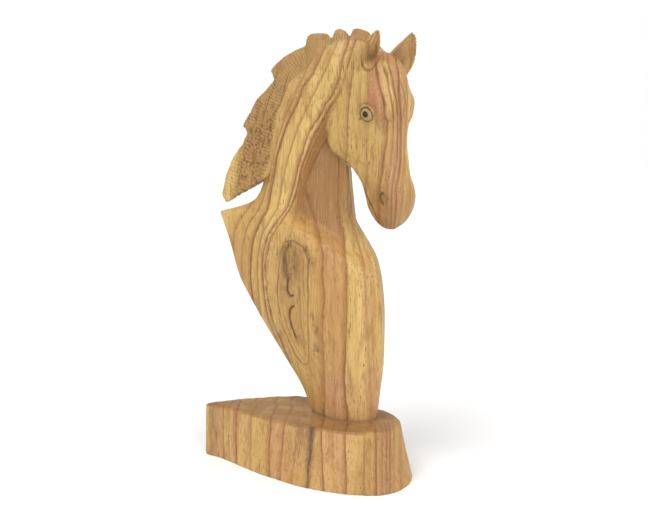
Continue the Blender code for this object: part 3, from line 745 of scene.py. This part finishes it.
def wear_stand(points, normals):
    """Rubs back the stand's rims, leaves its top uneven and sides rippled, and keeps the underside flat."""
    z = points[:, 2]
    in_stand = z < 0.6
    rim = stand_edge_distance(points, 260, 4)
    top_rim = bump(np.hypot(rim, np.minimum(z + 0.3, 0)), 2.0)
    chips = np.clip(lattice(points, (7, 7, 5), 21) * 0.8 + 0.25, 0, 1)
    sink = top_rim * (0.2 + 0.9 * chips)
    top = ease(normals[:, 2], 0.5, 0.9) * (z > -4)
    sink += top * (0.35 * lattice(points, 16.0, 22) + 0.18 * lattice(points, 4.5, 23) + 0.3)
    wall = 1 - ease(np.abs(normals[:, 2]), 0.4, 0.8)
    sink += wall * (0.25 * lattice(points, (5, 5, 60), 24) + 0.15 * lattice(points, 18.0, 25) + 0.25)
    foot = bump(z + STAND_TALL, 1.6) * np.clip(lattice(points, (4, 4, 4), 26) + 0.1, 0, 1)
    sink += foot * 0.9
    moved = points - normals * (sink * in_stand)[:, None]
    moved[z < -STAND_TALL + 0.45, 2] = -STAND_TALL
    return moved


# ---- what the wood shows, and the shade painted on it, at each point

# Names of the numbers kept at each vertex, in the order that wood_values finds them
VALUES = (
    "ring", "gap", "head_ring", "head_gap", "on_head", "knot", "heart", "pale", "brown_and_shade", "stain", "cut",
    "mane", "eye", "pupil",
)


def sheet_place(across, height, sheets):
    """Number of the sheet behind plus the share of the way to the next one, and the width of that gap."""
    at = np.stack([eased_through(heights, places, height) for heights, places in sheets], 1)
    at = np.maximum.accumulate(at + np.arange(len(sheets)) * 0.02, axis=1)
    k = np.clip((at < across[:, None]).sum(1) - 1, 0, len(sheets) - 2)
    rows = np.arange(len(across))
    gap = at[rows, k + 1] - at[rows, k]
    return k + np.clip((across - at[rows, k]) / gap, 0, 1), gap


def stand_edge_distance(points, count, every):
    """Distance in plan to the stand's upper outline."""
    outline = closed_curve(STAND_TOP, count)
    return off_line(points[:, :2], np.concatenate([outline, outline[:1]])[::every])


def on_head(points):
    """1 where a point lies on the skull's own slab or on an ear, by its half width at that place."""
    local = to_head(points)
    f, r, d = local.T
    downs = [row[0] for row in HEAD]
    face = np.interp(d, downs, [row[1] for row in HEAD])
    throat = np.interp(d, downs, [row[2] for row in HEAD])
    u = (face - f) / (face - throat)
    halves = np.array([row[3] for row in HEAD], float)
    columns = np.stack([np.interp(d, downs, halves[:, k]) for k in range(len(HEAD_ACROSS))], 1)
    place = np.clip(u, 0, 1)
    k = np.clip(np.searchsorted(HEAD_ACROSS, place, side="right") - 1, 0, len(HEAD_ACROSS) - 2)
    rows = np.arange(len(points))
    across = np.asarray(HEAD_ACROSS)
    t = (place - across[k]) / (across[k + 1] - across[k])
    half = columns[rows, k] * (1 - t) + columns[rows, k + 1] * t
    skull = (np.abs(r) > half - np.where(u > 0.75, 1.6, 3.5)) & (np.abs(r) < half + 2.4)
    skull &= (u > -0.3) & (u < 1.03) & (d > -8) & (f > -60 + 0.35 * np.clip(40 - d, 0, 60))
    ears = (d < 12) & (f > -22) & (np.abs(r) > 9)
    front = (f > -2) & (d > -4)
    return (skull | ears | front).astype(float)


def blob(points, centre, reach):
    """exp(-|(p - centre) / reach|^2)"""
    d = (points - np.asarray(centre, float)) / np.asarray(reach, float)
    return np.exp(-(d * d).sum(1))


def in_table(at, table):
    """Straight lines between a table's pairs."""
    return np.interp(at, *zip(*table))


# Share of pink-brown heartwood and of pale yellow sapwood by ring, in the figure and across the face
HEART_BY_RING = (
    (0, 0.1), (1, 0.2), (2, 0.15), (3, 0.2), (4, 0.05), (4.8, 0.1), (5.4, 0.35), (6.1, 0.25), (7.5, 0.3),
    (8.8, 0.4), (9.2, 0.5), (10.4, 0.62), (10.9, 0.5), (11.3, 0.22), (12.3, 0.1), (12.9, 0.4), (13.8, 0.5),
    (14.3, 0.2), (16, 0.15),
)
PALE_BY_RING = (
    (0, 0.35), (1, 0.35), (2, 0.4), (3, 0.45), (3.4, 0.8), (4.6, 0.9), (5.1, 0.6), (6, 0.45), (7, 0.4),
    (9, 0.25), (11, 0.2), (11.15, 0.8), (12.6, 0.95), (13, 0.35), (14, 0.45), (15, 0.55), (16, 0.4),
)


# Where the face's heartwood ends, as sight coordinates at depths below the poll
FACE_LEFT = (
    (-20, -9), (0, -14), (14, -19), (32, -19.5), (41, -16), (48, -11.5), (55, -8), (66, -3), (80, -5),
    (92, -6), (108, -8), (140, -9),
)
FACE_RIGHT = ((-20, 12), (0, 14), (30, 15), (50, 15), (66, 13), (94, 12), (140, 10))


def heart_and_pale(points, ring, head_share, hollow):
    """Shares of heartwood and pale sapwood: by ring in the block, by the line of sight across the face, and a
    painted highlight along the ridge of the face.
    """
    local = to_head(points)
    x, y, z = points.T
    seen, down = sight(local), local[:, 2]
    left, right = in_table(down, FACE_LEFT), in_table(down, FACE_RIGHT)
    face = ease(seen - left, -0.8, 1.6) * ease(right - seen, -3, 4)
    # painted highlight along the ridge of the face: less heartwood, more pale sapwood
    lit_ridge = bump(seen + 4.0 - (down - 10) * 0.12, 3.6) * ease(down, 2, 10) * ease(50 - down, 0, 12)
    face *= 1 - 0.75 * lit_ridge
    brow = blob(np.stack([seen, down], 1), (-14.5, 36), (4.0, 9)) * (local[:, 1] > 4)
    face = np.clip(face * (0.62 + 0.25 * lattice(points, (5, 5, 26), 41)) + 0.75 * brow, 0, 1.3)
    ears = ease(10 - down, 0, 10) * 0.35
    body = in_table(ring, HEART_BY_RING)
    neck = ease(z, 150, 178)
    ahead = ease(ring, 10.8, 11.3)
    body = body * (0.82 + 0.3 * lattice(points, (9, 9, 26), 45)) * (1 - neck * ahead) + 0.25 * hollow * neck
    low = ease(70 - z, 0, 55) * ease(z, -3, 3)
    body = body + low * 0.35 * ease(ring, 8, 10)
    front_end = ease(x, 64, 76)
    low_body = 0.28 + 0.6 * body + 0.35 * lattice(points, (8, 8, 70), 46)
    body = np.where(z < 0, low_body * (1 - 0.6 * front_end), body)
    far = ease(y, 2, 14)
    body = body * (1 - 0.35 * far)
    heart = body * (1 - head_share) + np.maximum(face, ears) * head_share
    heart = np.clip(heart + 0.12 * lattice(points, (10, 10, 40), 42), 0, 1.3)
    pale = in_table(ring, PALE_BY_RING)
    pale = pale * (0.75 + 0.25 * neck) * (1 - 0.8 * hollow * (1 - ahead)) + 0.25 * neck * ahead
    pale = np.where(z < 0, 0.42 + 0.45 * lattice(points, (11, 11, 60), 43), pale)
    cheek = 0.62 + 0.3 * blob(np.stack([seen, down], 1), (-24, 22), (9, 26)) - 0.3 * ease(down, 96, 120)
    pale = pale * (1 - head_share) + (cheek * (1 - face) + 0.9 * lit_ridge) * head_share
    return heart, np.clip(pale + 0.16 * lattice(points, (14, 14, 44), 44), 0, 1)


# Stains: lines with their reach, then shares that are plain, mottled and speckled, or one share
KNOT_PATCHES = (
    (((-6, 165), (-11, 158), (-11.5, 147), (-10.4, 134)), 2.3, 0.5, 0.5, 0),
    (((8.5, 161), (13, 156), (14.4, 149), (13.2, 140)), 2.8, 0.35, 0, 0.6),
    (((-1, 143), (1.5, 148), (0.5, 158)), 1.8, 0, 0.6, 0),
)
FLECKS = (
    (((12.5, 140), (14, 122)), 2.2, 0.5),
    (((16.3, 107), (18.2, 89), (16.5, 78), (18, 66)), 3.0, 0.75),
    (((18, 64), (17.5, 49)), 3.6, 0.4),
)


def stains(points):
    """Grey-brown stain in the knot and in one streak down the stand, as sums of bumps with ragged edges."""
    near = ease(-points[:, 1], 4, 12)
    side = points[:, [0, 2]]
    x, y, z = points.T
    mottle = 0.55 + 0.45 * lattice(points, (3.2, 3.2, 7), 51)
    speckle = ease(lattice(points, (1.6, 3, 2.6), 54), -0.2, 0.6)
    patch = np.exp(-(((x + 4.0) / 9.0) ** 2 + ((z - 147) / 19.0) ** 2)) * (0.5 * mottle + 0.55 * speckle)
    for path, reach, plain, mottled, speckled in KNOT_PATCHES:
        patch += bump(off_line(side, path), reach) * (plain + mottled * mottle + speckled * speckle)
    flecks = sum(bump(off_line(side, path), reach) * share for path, reach, share in FLECKS)
    flecks *= ease(lattice(points, (1.8, 3, 6), 52), -0.15, 0.45)
    cracks = sum(bump(off_line(side, path) + 0.5 * mottle, 1.25) for path in CRACKS) * 0.85
    cracks += bump(off_line(side, HAIR_CRACK), 0.9) * 0.4
    halo = sum(bump(off_line(side, path), 4.5) for path in CRACKS) * 0.3
    total = (patch + flecks + cracks + halo * mottle) * near * (z > 2)
    ragged = lattice(points, (3, 3, 14), 53)
    width = np.interp(z, (-54, -30, 0), (1.9, 2.8, 3.7))
    streak = np.exp(-(((x - np.interp(z, (-54, -25, 3), (16.2, 17.4, 18.0)) + ragged) / width) ** 2))
    second = np.exp(-(((x - 6.0 + ragged) / 2.8) ** 2)) * 0.5 * ease(z, -45, -8)
    third = np.exp(-(((x + 3.0 + ragged) / 2.0) ** 2)) * 0.3 * ease(z, -50, -25)
    on_wall = near * (z < -0.4)
    tip = ease(-x, 76, 90) * (z < -0.4) * (0.3 + 0.3 * lattice(points, (3, 3, 40), 55))
    return np.clip(total + (1.05 * streak + second + third) * on_wall + tip, 0, 1)


def brown_and_painted_shade(points, normals, past_root, past_band, hollow):
    """Browner wood in the knot and the stand's end grain, a darker mane, and painted shade in the neck's
    hollow, growing up towards the head, and under the jaw.
    """
    x, y, z = points.T
    top = ease(normals[:, 2], 0.55, 0.9) * (z < 4) * (z > -5)
    rim_line = bump(z + 1.3, 1.3) * (1.0 + 0.6 * lattice(points, (5, 5, 5), 72)) * (1 - top)
    # painted shade in the neck's hollow, stronger up under the head
    neck = hollow * ease(z, 160, 200) * 0.85
    mane_share = ease(past_band, 0, 3) * 0.6 + 0.15 * ease(past_root, 0, 2)
    # painted shade under the jaw
    under_jaw_shade = blob(points, (40, -10, 285), (22, 14, 26)) * 0.5
    knot = np.exp(-(((x + 3) / 13.0) ** 2 + ((z - 138) / 34.0) ** 2) ** 2) * ease(-y, 4, 12)
    knot *= 0.55 + 0.45 * lattice(points, (5, 5, 10), 73)
    end_grain = top * (0.85 + 0.45 * lattice(points, (16, 7, 5), 74))
    uneven = 0.12 * lattice(points, (9, 9, 22), 71)
    return np.clip(end_grain + rim_line + 0.75 * knot + neck + mane_share + under_jaw_shade + uneven, 0, 1)


def put_value(mesh, name, values):
    """Keeps one number per vertex under this name."""
    attribute = mesh.attributes.get(name) or mesh.attributes.new(name, "FLOAT", "POINT")
    attribute.data.foreach_set("value", values.astype(np.float32))


def get_value(mesh, name):
    """The numbers kept under this name."""
    values = np.zeros(len(mesh.vertices), np.float32)
    mesh.attributes[name].data.foreach_get("value", values)
    return values.astype(float)


def ear_shade(points, normals, local):
    """Painted shade in the ears' hollows, deeper towards the foot, and in the groove round the near one."""
    painted_shade = np.zeros(len(points))
    for shape in EARS:
        _, along, width_way, opens = ear_axes(shape)
        way = local - np.array(shape["base"])
        up, across, out = way @ along, way @ width_way, way @ opens
        facing = (to_head(points + normals) - local) @ opens
        scoop = ease(facing, 0.1, 0.6) * ease(-out, 0.5, 3.0) * (up > -3)
        scoop *= (np.abs(across) < shape["width"]) * (out > -10)
        painted_shade += scoop * ease(34 - up, 0, 24) * 0.4 * (local[:, 2] < 12)
        if shape["side"] > 0:
            bowl = ear_bowl(up, across)
            close = (out > -8) & (out < 5) & (local[:, 2] < 16)
            low = ease(-up, -20, -9)
            painted_shade += close * (0.75 * bump(bowl - 1.42, 0.12) * low + 0.65 * ease(1 - bowl, 0.1, 0.7) * low)
    return painted_shade


def wood_values(mesh):
    """Gives the mesh the numbers that its finish reads, by the formulas above."""
    points = vertex_vectors(mesh, "co")
    normals = vertex_vectors(mesh, "normal")
    x, y, z = points.T
    side = points[:, [0, 2]]
    local, _, counts = head_side(points)
    spot = local[:, [0, 2]]
    head_share = relaxed(on_head(points), edge_pairs(mesh), 6)

    drift = 1.3 * lattice(points, (22, 22, 70), 31) + 0.5 * lattice(points, (7, 7, 30), 32)
    across = x + 0.12 * (y + 22) + drift + np.where(y > 6, 3.5, 0.0)
    ring, gap = sheet_place(across, z, SHEETS)
    head_ring, head_gap = sheet_place(sight(local) + 0.35 * drift, local[:, 2], HEAD_SHEETS)
    knot = off_line(side, KNOT + KNOT[:1]) * np.where(inside_polygon(side, KNOT), 1, -1)
    knot -= 30 * ease(y, -12, -4)
    reach = np.interp(z, (165, 205), (30.0, 3.2))
    hollow = ease(off_line(side, HOLLOW_EDGE) / reach, 0.05, 1.0)
    hollow *= inside_polygon(side, HOLLOW_CORNERS) * ease(np.abs(y), 2, 5) * (1 - head_share)
    heart, pale = heart_and_pale(points, ring, head_share, hollow)

    past_root, past_band, _, pits, rim = mane_marks(points)
    brown_and_shade = brown_and_painted_shade(points, normals, past_root, past_band, hollow) * (1 - 0.9 * rim) * (1 - head_share)
    # the muzzle browner, and painted shade on the far ear
    muzzle, ear = ease(local[:, 2], 94, 116), ease(6 - local[:, 2], 0, 8) * (local[:, 1] < 0)
    brown_and_shade += head_share * (0.45 * muzzle + 0.5 * ear)

    r = eye_radius(spot)
    # painted shade in grooves and hollows: round the eye, most under the upper lid, its tail, the nostril and
    # the mouth
    cut = bump(r - EYE_RING, 0.6) * (0.62 + 0.25 * ease(EYE[1] - spot[:, 1], -4, 1))
    cut += bump(off_line(spot, EYE_TAIL), 0.9) * ease(r, 5, 6) * 0.9
    cut += bump(off_line(spot, NOSTRIL_SLIT), 1.2) * 0.8 + bump(off_line(spot, MOUTH), 0.8) * 0.75
    cut += 0.35 * np.exp(-(nostril_radius(spot) ** 4))
    cut *= counts
    # painted shade where the figure meets the stand
    foot_shade = bump(z - 0.7, 1.7) * (1 - ease(normals[:, 2], 0.75, 0.97))
    cut += 0.95 * foot_shade * ease(stand_edge_distance(points, 120, 3), 2, 4)
    cut += ear_shade(points, normals, local)
    # painted shade in concave creases
    cut = np.maximum(cut, get_value(mesh, "crease") * 0.7)
    # painted shade in the mane's pits and cuts
    cut = np.maximum(cut, pits * 0.85 * (0.75 + 0.25 * lattice(points, 6.0, 64)))
    # painted shade in the forehead's furrows
    cut = np.maximum(cut, furrow_depth(points, normals)[1] * 0.5)

    found = (ring, gap, head_ring, head_gap, head_share, knot, heart, np.clip(pale + 0.5 * rim, 0, 1), brown_and_shade,
             stains(points), np.clip(cut, 0, 1), ease(past_band, 0, 3), ease(5.3 - r, 0.0, 0.6) * counts,
             ease(PUPIL_REACH - r, 0.0, 0.5) * counts)
    for name, values in zip(VALUES, found):
        put_value(mesh, name, values)


def carved_body(material):
    """Head, neck, mane, chest, ears and stand fused to one skin, carved, and thinned where it is smooth."""
    forms = [bust(), head(), stand(), mane()] + [ear(shape) for shape in EARS]
    rough = rings_mesh("rough", forms)
    skin = with_modifier(rough, "REMESH", mode="VOXEL", voxel_size=CELL / STEP, adaptivity=0.0)
    points = vertex_vectors(skin, "co")
    soft = 0.5 * (0.3 + 0.7 * ease(points[:, 2], -1.0, 3.0)) * (1 - 0.5 * ease(points[:, 2], 316, 330))
    points = relaxed(points, edge_pairs(skin), 9, soft[:, None])
    put_coordinates(skin, points)
    local, _, counts = head_side(points)
    spot = local[:, [0, 2]]
    close = (eye_radius(spot) < 12) & (counts > 0)
    close |= (off_line(spot, NOSTRIL_SLIT) < 5) & (counts > 0)
    close |= (off_line(spot, MOUTH) < 3) & (counts > 0)
    close |= (local[:, 0] > -16) & (local[:, 2] < 56) & (local[:, 2] > 0) & (np.abs(local[:, 1]) < 30)
    on_crack = np.min([off_line(points[:, [0, 2]], path) for path in CRACKS], axis=0) < 4
    close |= on_crack & (points[:, 1] < -8) & (points[:, 2] > 60)
    close |= mane_marks(points)[1] > -2
    refined(skin, close)
    points = cut_head(vertex_vectors(skin, "co"))
    put_coordinates(skin, points)
    points = cut_wood(points, vertex_vectors(skin, "normal"))
    put_coordinates(skin, points)
    points = wear_stand(points, vertex_vectors(skin, "normal"))
    put_coordinates(skin, points)
    edges = edge_pairs(skin)
    # concave creases, kept to be painted as shade
    crease = relaxed(bend(points, vertex_vectors(skin, "normal"), edges), edges, 3)
    put_value(skin, "crease", ease(crease, 0.06, 0.5))
    triangles = len(skin.loops) - 2 * len(skin.polygons)
    skin = with_modifier(skin, "DECIMATE", ratio=TRIANGLES_KEPT / triangles)
    print("carved body", triangles, "to", len(skin.polygons))
    wood_values(skin)
    out = vertex_vectors(skin, "co") * STEP
    out[:, 2] += STAND_HEIGHT
    out[:, 2] = np.maximum(out[:, 2], 0)
    put_coordinates(skin, out)
    skin.polygons.foreach_set("use_smooth", np.ones(len(skin.polygons), bool))
    piece = bpy.data.objects.new("carved_body", skin)
    bpy.context.scene.collection.objects.link(piece)
    skin.materials.clear()
    skin.materials.append(material)
    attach(piece, "root")
    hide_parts("horse_head_carving")
    return piece


# ---- finish

SAP_TAN = (0.44, 0.25, 0.072)
SAP_PALE = (0.60, 0.415, 0.14)
HEART = (0.46, 0.235, 0.115)
HEART_DARK = (0.22, 0.085, 0.05)
RUST = (0.285, 0.122, 0.04)
RED = (0.42, 0.15, 0.065)
# brown of the wood, also used for painted shade
BROWN = (0.255, 0.13, 0.038)
RING_LINE = (0.17, 0.065, 0.025)
PORE = (0.15, 0.068, 0.026)
STAIN = (0.105, 0.05, 0.02)
# painted shade for grooves, creases and hollows
GROOVE_SHADE = (0.145, 0.07, 0.026)
EYE_TAN = (0.42, 0.29, 0.15)
PUPIL = (0.01, 0.008, 0.006)


def plug(tree, value, socket):
    """Links a value to a socket, or sets the socket to a plain number or colour."""
    if isinstance(value, Number):
        tree.links.new(value.socket, socket)
    else:
        socket.default_value = (*value, 1.0) if isinstance(value, tuple) else value


class Number:
    """A value in a node tree. +, - and * with another value or a plain number each add a Math node."""

    def __init__(self, tree, socket):
        self.tree = tree
        self.socket = socket

    def made_by(self, kind, output, *values, **settings):
        """A new node's output, its inputs filled in order."""
        node = self.tree.nodes.new(kind)
        for key, value in settings.items():
            setattr(node, key, value)
        for socket, value in zip(node.inputs, values):
            plug(self.tree, value, socket)
        return Number(self.tree, node.outputs[output])

    def maths(self, operation, *values, clamp=False):
        return self.made_by("ShaderNodeMath", 0, *values, operation=operation, use_clamp=clamp)

    def __add__(self, other):
        return self.maths("ADD", self, other)

    def __sub__(self, other):
        return self.maths("SUBTRACT", self, other)

    def __rsub__(self, other):
        return self.maths("SUBTRACT", other, self)

    def __mul__(self, other):
        return self.maths("MULTIPLY", self, other)

    def size(self):
        return self.maths("ABSOLUTE", self)

    def larger(self, other):
        return self.maths("MAXIMUM", self, other)

    def ranged(self, low, high, to_low=0.0, to_high=1.0):
        """to_low up to low and to_high from high on, eased between."""
        return self.made_by("ShaderNodeMapRange", 0, self, low, high, to_low, to_high,
                            interpolation_type="SMOOTHSTEP")

    def between(self, a, b):
        """a where this is 0, b where it is 1."""
        node = self.tree.nodes.new("ShaderNodeMix")
        for socket, value in zip((node.inputs[0], node.inputs[2], node.inputs[3]), (self, a, b)):
            plug(self.tree, value, socket)
        return Number(self.tree, node.outputs[0])

    def colour(self, a, b):
        """Colour a where this is 0, b where it is 1."""
        node = self.tree.nodes.new("ShaderNodeMix")
        node.data_type = "RGBA"
        for socket, value in zip((node.inputs[0], node.inputs[6], node.inputs[7]), (self, a, b)):
            plug(self.tree, value, socket)
        return Number(self.tree, node.outputs[2])

    def noise(self, scale, detail=2.0, rough=0.5, stretch=None):
        """Noise over this place, which is stretched first."""
        place = self
        if stretch is not None:
            mapping = self.tree.nodes.new("ShaderNodeMapping")
            mapping.inputs["Scale"].default_value = stretch
            plug(self.tree, self, mapping.inputs[0])
            place = Number(self.tree, mapping.outputs[0])
        node = self.tree.nodes.new("ShaderNodeTexNoise")
        for name, value in (("Scale", scale), ("Detail", detail), ("Roughness", rough), ("Vector", place)):
            plug(self.tree, value, node.inputs[name])
        return Number(self.tree, node.outputs["Fac"])

    def line_noise(self, scale, detail):
        """Noise along this one value."""
        node = self.tree.nodes.new("ShaderNodeTexNoise")
        node.noise_dimensions = "1D"
        for name, value in (("Scale", scale), ("Detail", detail), ("W", self)):
            plug(self.tree, value, node.inputs[name])
        return Number(self.tree, node.outputs["Fac"])

    def steps(self, values):
        """The value for each whole number, held from half below it to half above."""
        node = self.tree.nodes.new("ShaderNodeValToRGB")
        node.color_ramp.interpolation = "CONSTANT"
        elements = node.color_ramp.elements
        while len(elements) < len(values):
            elements.new(1.0)
        for k, value in enumerate(values):
            elements[k].position = k / len(values)
            elements[k].color = (value, value, value, 1.0)
        plug(self.tree, self.maths("DIVIDE", self + 0.5, float(len(values))), node.inputs[0])
        return Number(self.tree, node.outputs[0])


def ring_marks(ring, gap, wander, strengths):
    """A line where |ring - round(ring)| gap is small, and a band that darkens towards it from one side."""
    whole = ring.maths("ROUND", ring)
    off = (ring - whole) * gap + wander
    strength = whole.steps(strengths)
    line = off.size().ranged(1.35, 0.2) * strength
    late = off.ranged(-6.0, -0.2) * off.maths("LESS_THAN", off, 0.0)
    after = off.ranged(1.8, 0.1) * off.maths("GREATER_THAN", off, 0.0)
    return line, (late + after * 0.6) * strength


def driftwood():
    """Sapwood and heartwood with ring lines, long grain and open pores, and painted shade in grooves and
    hollows, in the piece's own coordinates.
    """
    material = bpy.data.materials.new("driftwood")
    material.use_nodes = True
    tree = material.node_tree
    shader = tree.nodes["Principled BSDF"]
    place = Number(tree, tree.nodes.new("ShaderNodeTexCoord").outputs["Object"])
    read = {}
    for name in VALUES:
        node = tree.nodes.new("ShaderNodeAttribute")
        node.attribute_name = name
        read[name] = Number(tree, node.outputs["Fac"])

    soft = place.noise(30.0, 3.0, 0.55, (1, 1, 0.3)) - 0.5
    grain = place.noise(900.0, 3.0, 0.6, (1, 1, 0.05))
    fibre = place.noise(2600.0, 2.0, 0.5, (1, 1, 0.10))
    clouds = place.noise(150.0, 4.0, 0.65, (1, 1, 0.22))
    wander = (place.noise(90.0, 3.0, 0.6, (1, 1, 0.25)) - 0.5) * 3.2
    uneven = place.noise(38.0, 3.0, 0.6, (1, 1, 0.45)).ranged(0.34, 0.60, 0.25, 1.0)
    clumps = place.noise(80.0, 2.0, 0.5, (1, 1, 0.35)).ranged(0.42, 0.62, 0.25, 1.0)
    pores = place.noise(1300.0, 1.0, 0.4, (1, 1, 0.11)).ranged(0.63, 0.71) * clumps

    body_line, body_band = ring_marks(read["ring"], read["gap"], wander, SHEET_STRENGTH)
    head_line, head_band = ring_marks(read["head_ring"], read["head_gap"], wander * 0.5, HEAD_SHEET_STRENGTH)
    outside_knot = read["knot"].ranged(1.5, -1.5)
    knot = read["knot"] + wander * 1.7
    knot_line = knot.size().ranged(1.3, 0.2) * 0.9
    for inward, strength in ((4.2, 0.5), (8.6, 0.4)):
        knot_line = knot_line.larger((knot - inward).size().ranged(1.1, 0.2) * strength)
    off_mane = 1 - read["mane"] * 0.8
    body_line = (body_line * outside_knot).larger(knot_line)
    line = read["on_head"].between(body_line, head_line) * uneven * off_mane
    band = read["on_head"].between(body_band * outside_knot, head_band) * off_mane

    ring = read["on_head"].between(read["ring"], read["head_ring"])
    streaks = ring.line_noise(2.6, 3.0) - 0.5
    thin = (ring + wander * 0.02).line_noise(11.0, 3.0)
    pale = place.maths("ADD", read["pale"] + soft * 0.9, streaks * 0.7, clamp=True)
    heart = read["heart"] + streaks * 0.8 + soft * 0.5
    base = pale.colour(SAP_TAN, SAP_PALE)
    for share, colour in (
        (heart.ranged(0.15, 0.95, 0.0, 0.92), HEART),
        (thin.ranged(0.50, 0.68) * read["heart"].ranged(0.35, 0.9) * 0.7, HEART_DARK),
        (read["heart"].ranged(0.78, 1.2, 0.0, 0.55), RED),
        # browner wood and mane, and painted shade in the neck's hollow, under the jaw and on the far ear
        (read["brown_and_shade"] * 0.85, BROWN),
        (band * 0.72, RUST),
        (line * 0.92, RING_LINE),
        (thin.ranged(0.50, 0.66, 0.0, 0.22), SAP_TAN),
        (clouds.ranged(0.47, 0.70, 0.0, 0.6), RUST),
        (grain.ranged(0.50, 0.70, 0.0, 0.5), BROWN),
        (grain.ranged(0.46, 0.28, 0.0, 0.3), SAP_PALE),
        (pores * 0.85, PORE),
        (read["stain"] * grain.ranged(0.25, 0.55, 0.6, 1.0), STAIN),
        # painted shade in grooves and hollows
        (read["cut"] * 0.85, GROOVE_SHADE),
        (read["eye"] * (0.85 - read["cut"]), EYE_TAN),
        (read["pupil"], PUPIL),
    ):
        base = share.colour(base, colour)
    plug(tree, base, shader.inputs["Base Color"])
    plug(tree, grain * 0.18 + 0.40 + read["cut"] * 0.18 - read["pupil"] * 0.25, shader.inputs["Roughness"])
    shader.inputs["Specular IOR Level"].default_value = 0.35

    relief = tree.nodes.new("ShaderNodeBump")
    relief.inputs["Strength"].default_value = 0.6
    relief.inputs["Distance"].default_value = 0.0003
    plug(tree, grain * 0.55 + fibre * 0.25 - pores * 0.9 - line * 0.3, relief.inputs["Height"])
    tree.links.new(relief.outputs[0], shader.inputs["Normal"])
    return material


# ---- studio

# Suns: name, energy, spread in degrees and the way the light travels
SUNS = (("key", 1.5, 45, (-0.72, 0.6, -0.42)), ("left", 1.3, 30, (0.6, 0.7, -1.5)))
FLOOR_REACH = 9
SENSOR = 36.0
PHOTO_WIDTH = 648.0
FOCAL_PIXELS = 650.0
CAMERA_PLACE = (0.1618, -0.569, 0.3047)
CAMERA_AHEAD = (-0.23825, 0.95555, -0.17365)


def floor():
    """A plain pale square under the piece."""
    mesh = bpy.data.meshes.new("floor")
    far = FLOOR_REACH
    mesh.from_pydata([(-far, -far, 0), (far, -far, 0), (far, far, 0), (-far, far, 0)], [], [(0, 1, 2, 3)])
    piece = bpy.data.objects.new("floor", mesh)
    bpy.context.scene.collection.objects.link(piece)
    material = bpy.data.materials.new("pale_floor")
    material.use_nodes = True
    shader = material.node_tree.nodes["Principled BSDF"]
    shader.inputs["Base Color"].default_value = (0.94, 0.94, 0.94, 1.0)
    shader.inputs["Roughness"].default_value = 0.9
    shader.inputs["Specular IOR Level"].default_value = 0.1
    mesh.materials.append(material)


def studio():
    """A white surround, dimmer overhead, and two broad suns."""
    world = bpy.data.worlds.new("studio")
    bpy.context.scene.world = world
    world.use_nodes = True
    tree = world.node_tree
    background = tree.nodes["Background"]
    way = tree.nodes.new("ShaderNodeTexCoord").outputs["Generated"]
    split = tree.nodes.new("ShaderNodeSeparateXYZ")
    tree.links.new(way, split.inputs[0])
    plug(tree, Number(tree, split.outputs[2]).ranged(0.24, 0.6, 1.0, 0.6), background.inputs[1])
    background.inputs[0].default_value = (1.0, 1.0, 1.0, 1.0)
    for name, energy, spread, travel in SUNS:
        data = bpy.data.lights.new(name, "SUN")
        data.energy = energy
        data.angle = math.radians(spread)
        lamp = bpy.data.objects.new(name, data)
        bpy.context.scene.collection.objects.link(lamp)
        lamp.rotation_euler = Vector(travel).to_track_quat("-Z", "Y").to_euler()
    bpy.context.scene.view_settings.view_transform = "Standard"


def camera():
    """0.57 m before the piece, turned 14 degrees from its side and looking 10 degrees down."""
    data = bpy.data.cameras.new("camera")
    data.sensor_fit = "HORIZONTAL"
    data.sensor_width = SENSOR
    data.lens = SENSOR * FOCAL_PIXELS / PHOTO_WIDTH
    data.clip_start = 0.01
    data.clip_end = 50.0
    eye = bpy.data.objects.new("camera", data)
    bpy.context.scene.collection.objects.link(eye)
    ahead = Vector(CAMERA_AHEAD).normalized()
    right = ahead.cross(Vector((0, 0, 1))).normalized()
    turn = Matrix((right, right.cross(ahead), -ahead)).transposed()
    eye.matrix_world = Matrix.Translation(CAMERA_PLACE) @ turn.to_4x4()
    bpy.context.scene.camera = eye


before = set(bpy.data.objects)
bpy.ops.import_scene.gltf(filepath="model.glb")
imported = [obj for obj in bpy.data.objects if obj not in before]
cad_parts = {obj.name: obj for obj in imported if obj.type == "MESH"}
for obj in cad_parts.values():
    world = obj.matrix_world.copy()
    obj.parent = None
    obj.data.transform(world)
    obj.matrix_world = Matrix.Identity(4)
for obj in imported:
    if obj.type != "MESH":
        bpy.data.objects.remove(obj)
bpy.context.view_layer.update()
camera()
studio()
floor()
carved_body(driftwood())
bpy.context.view_layer.update()
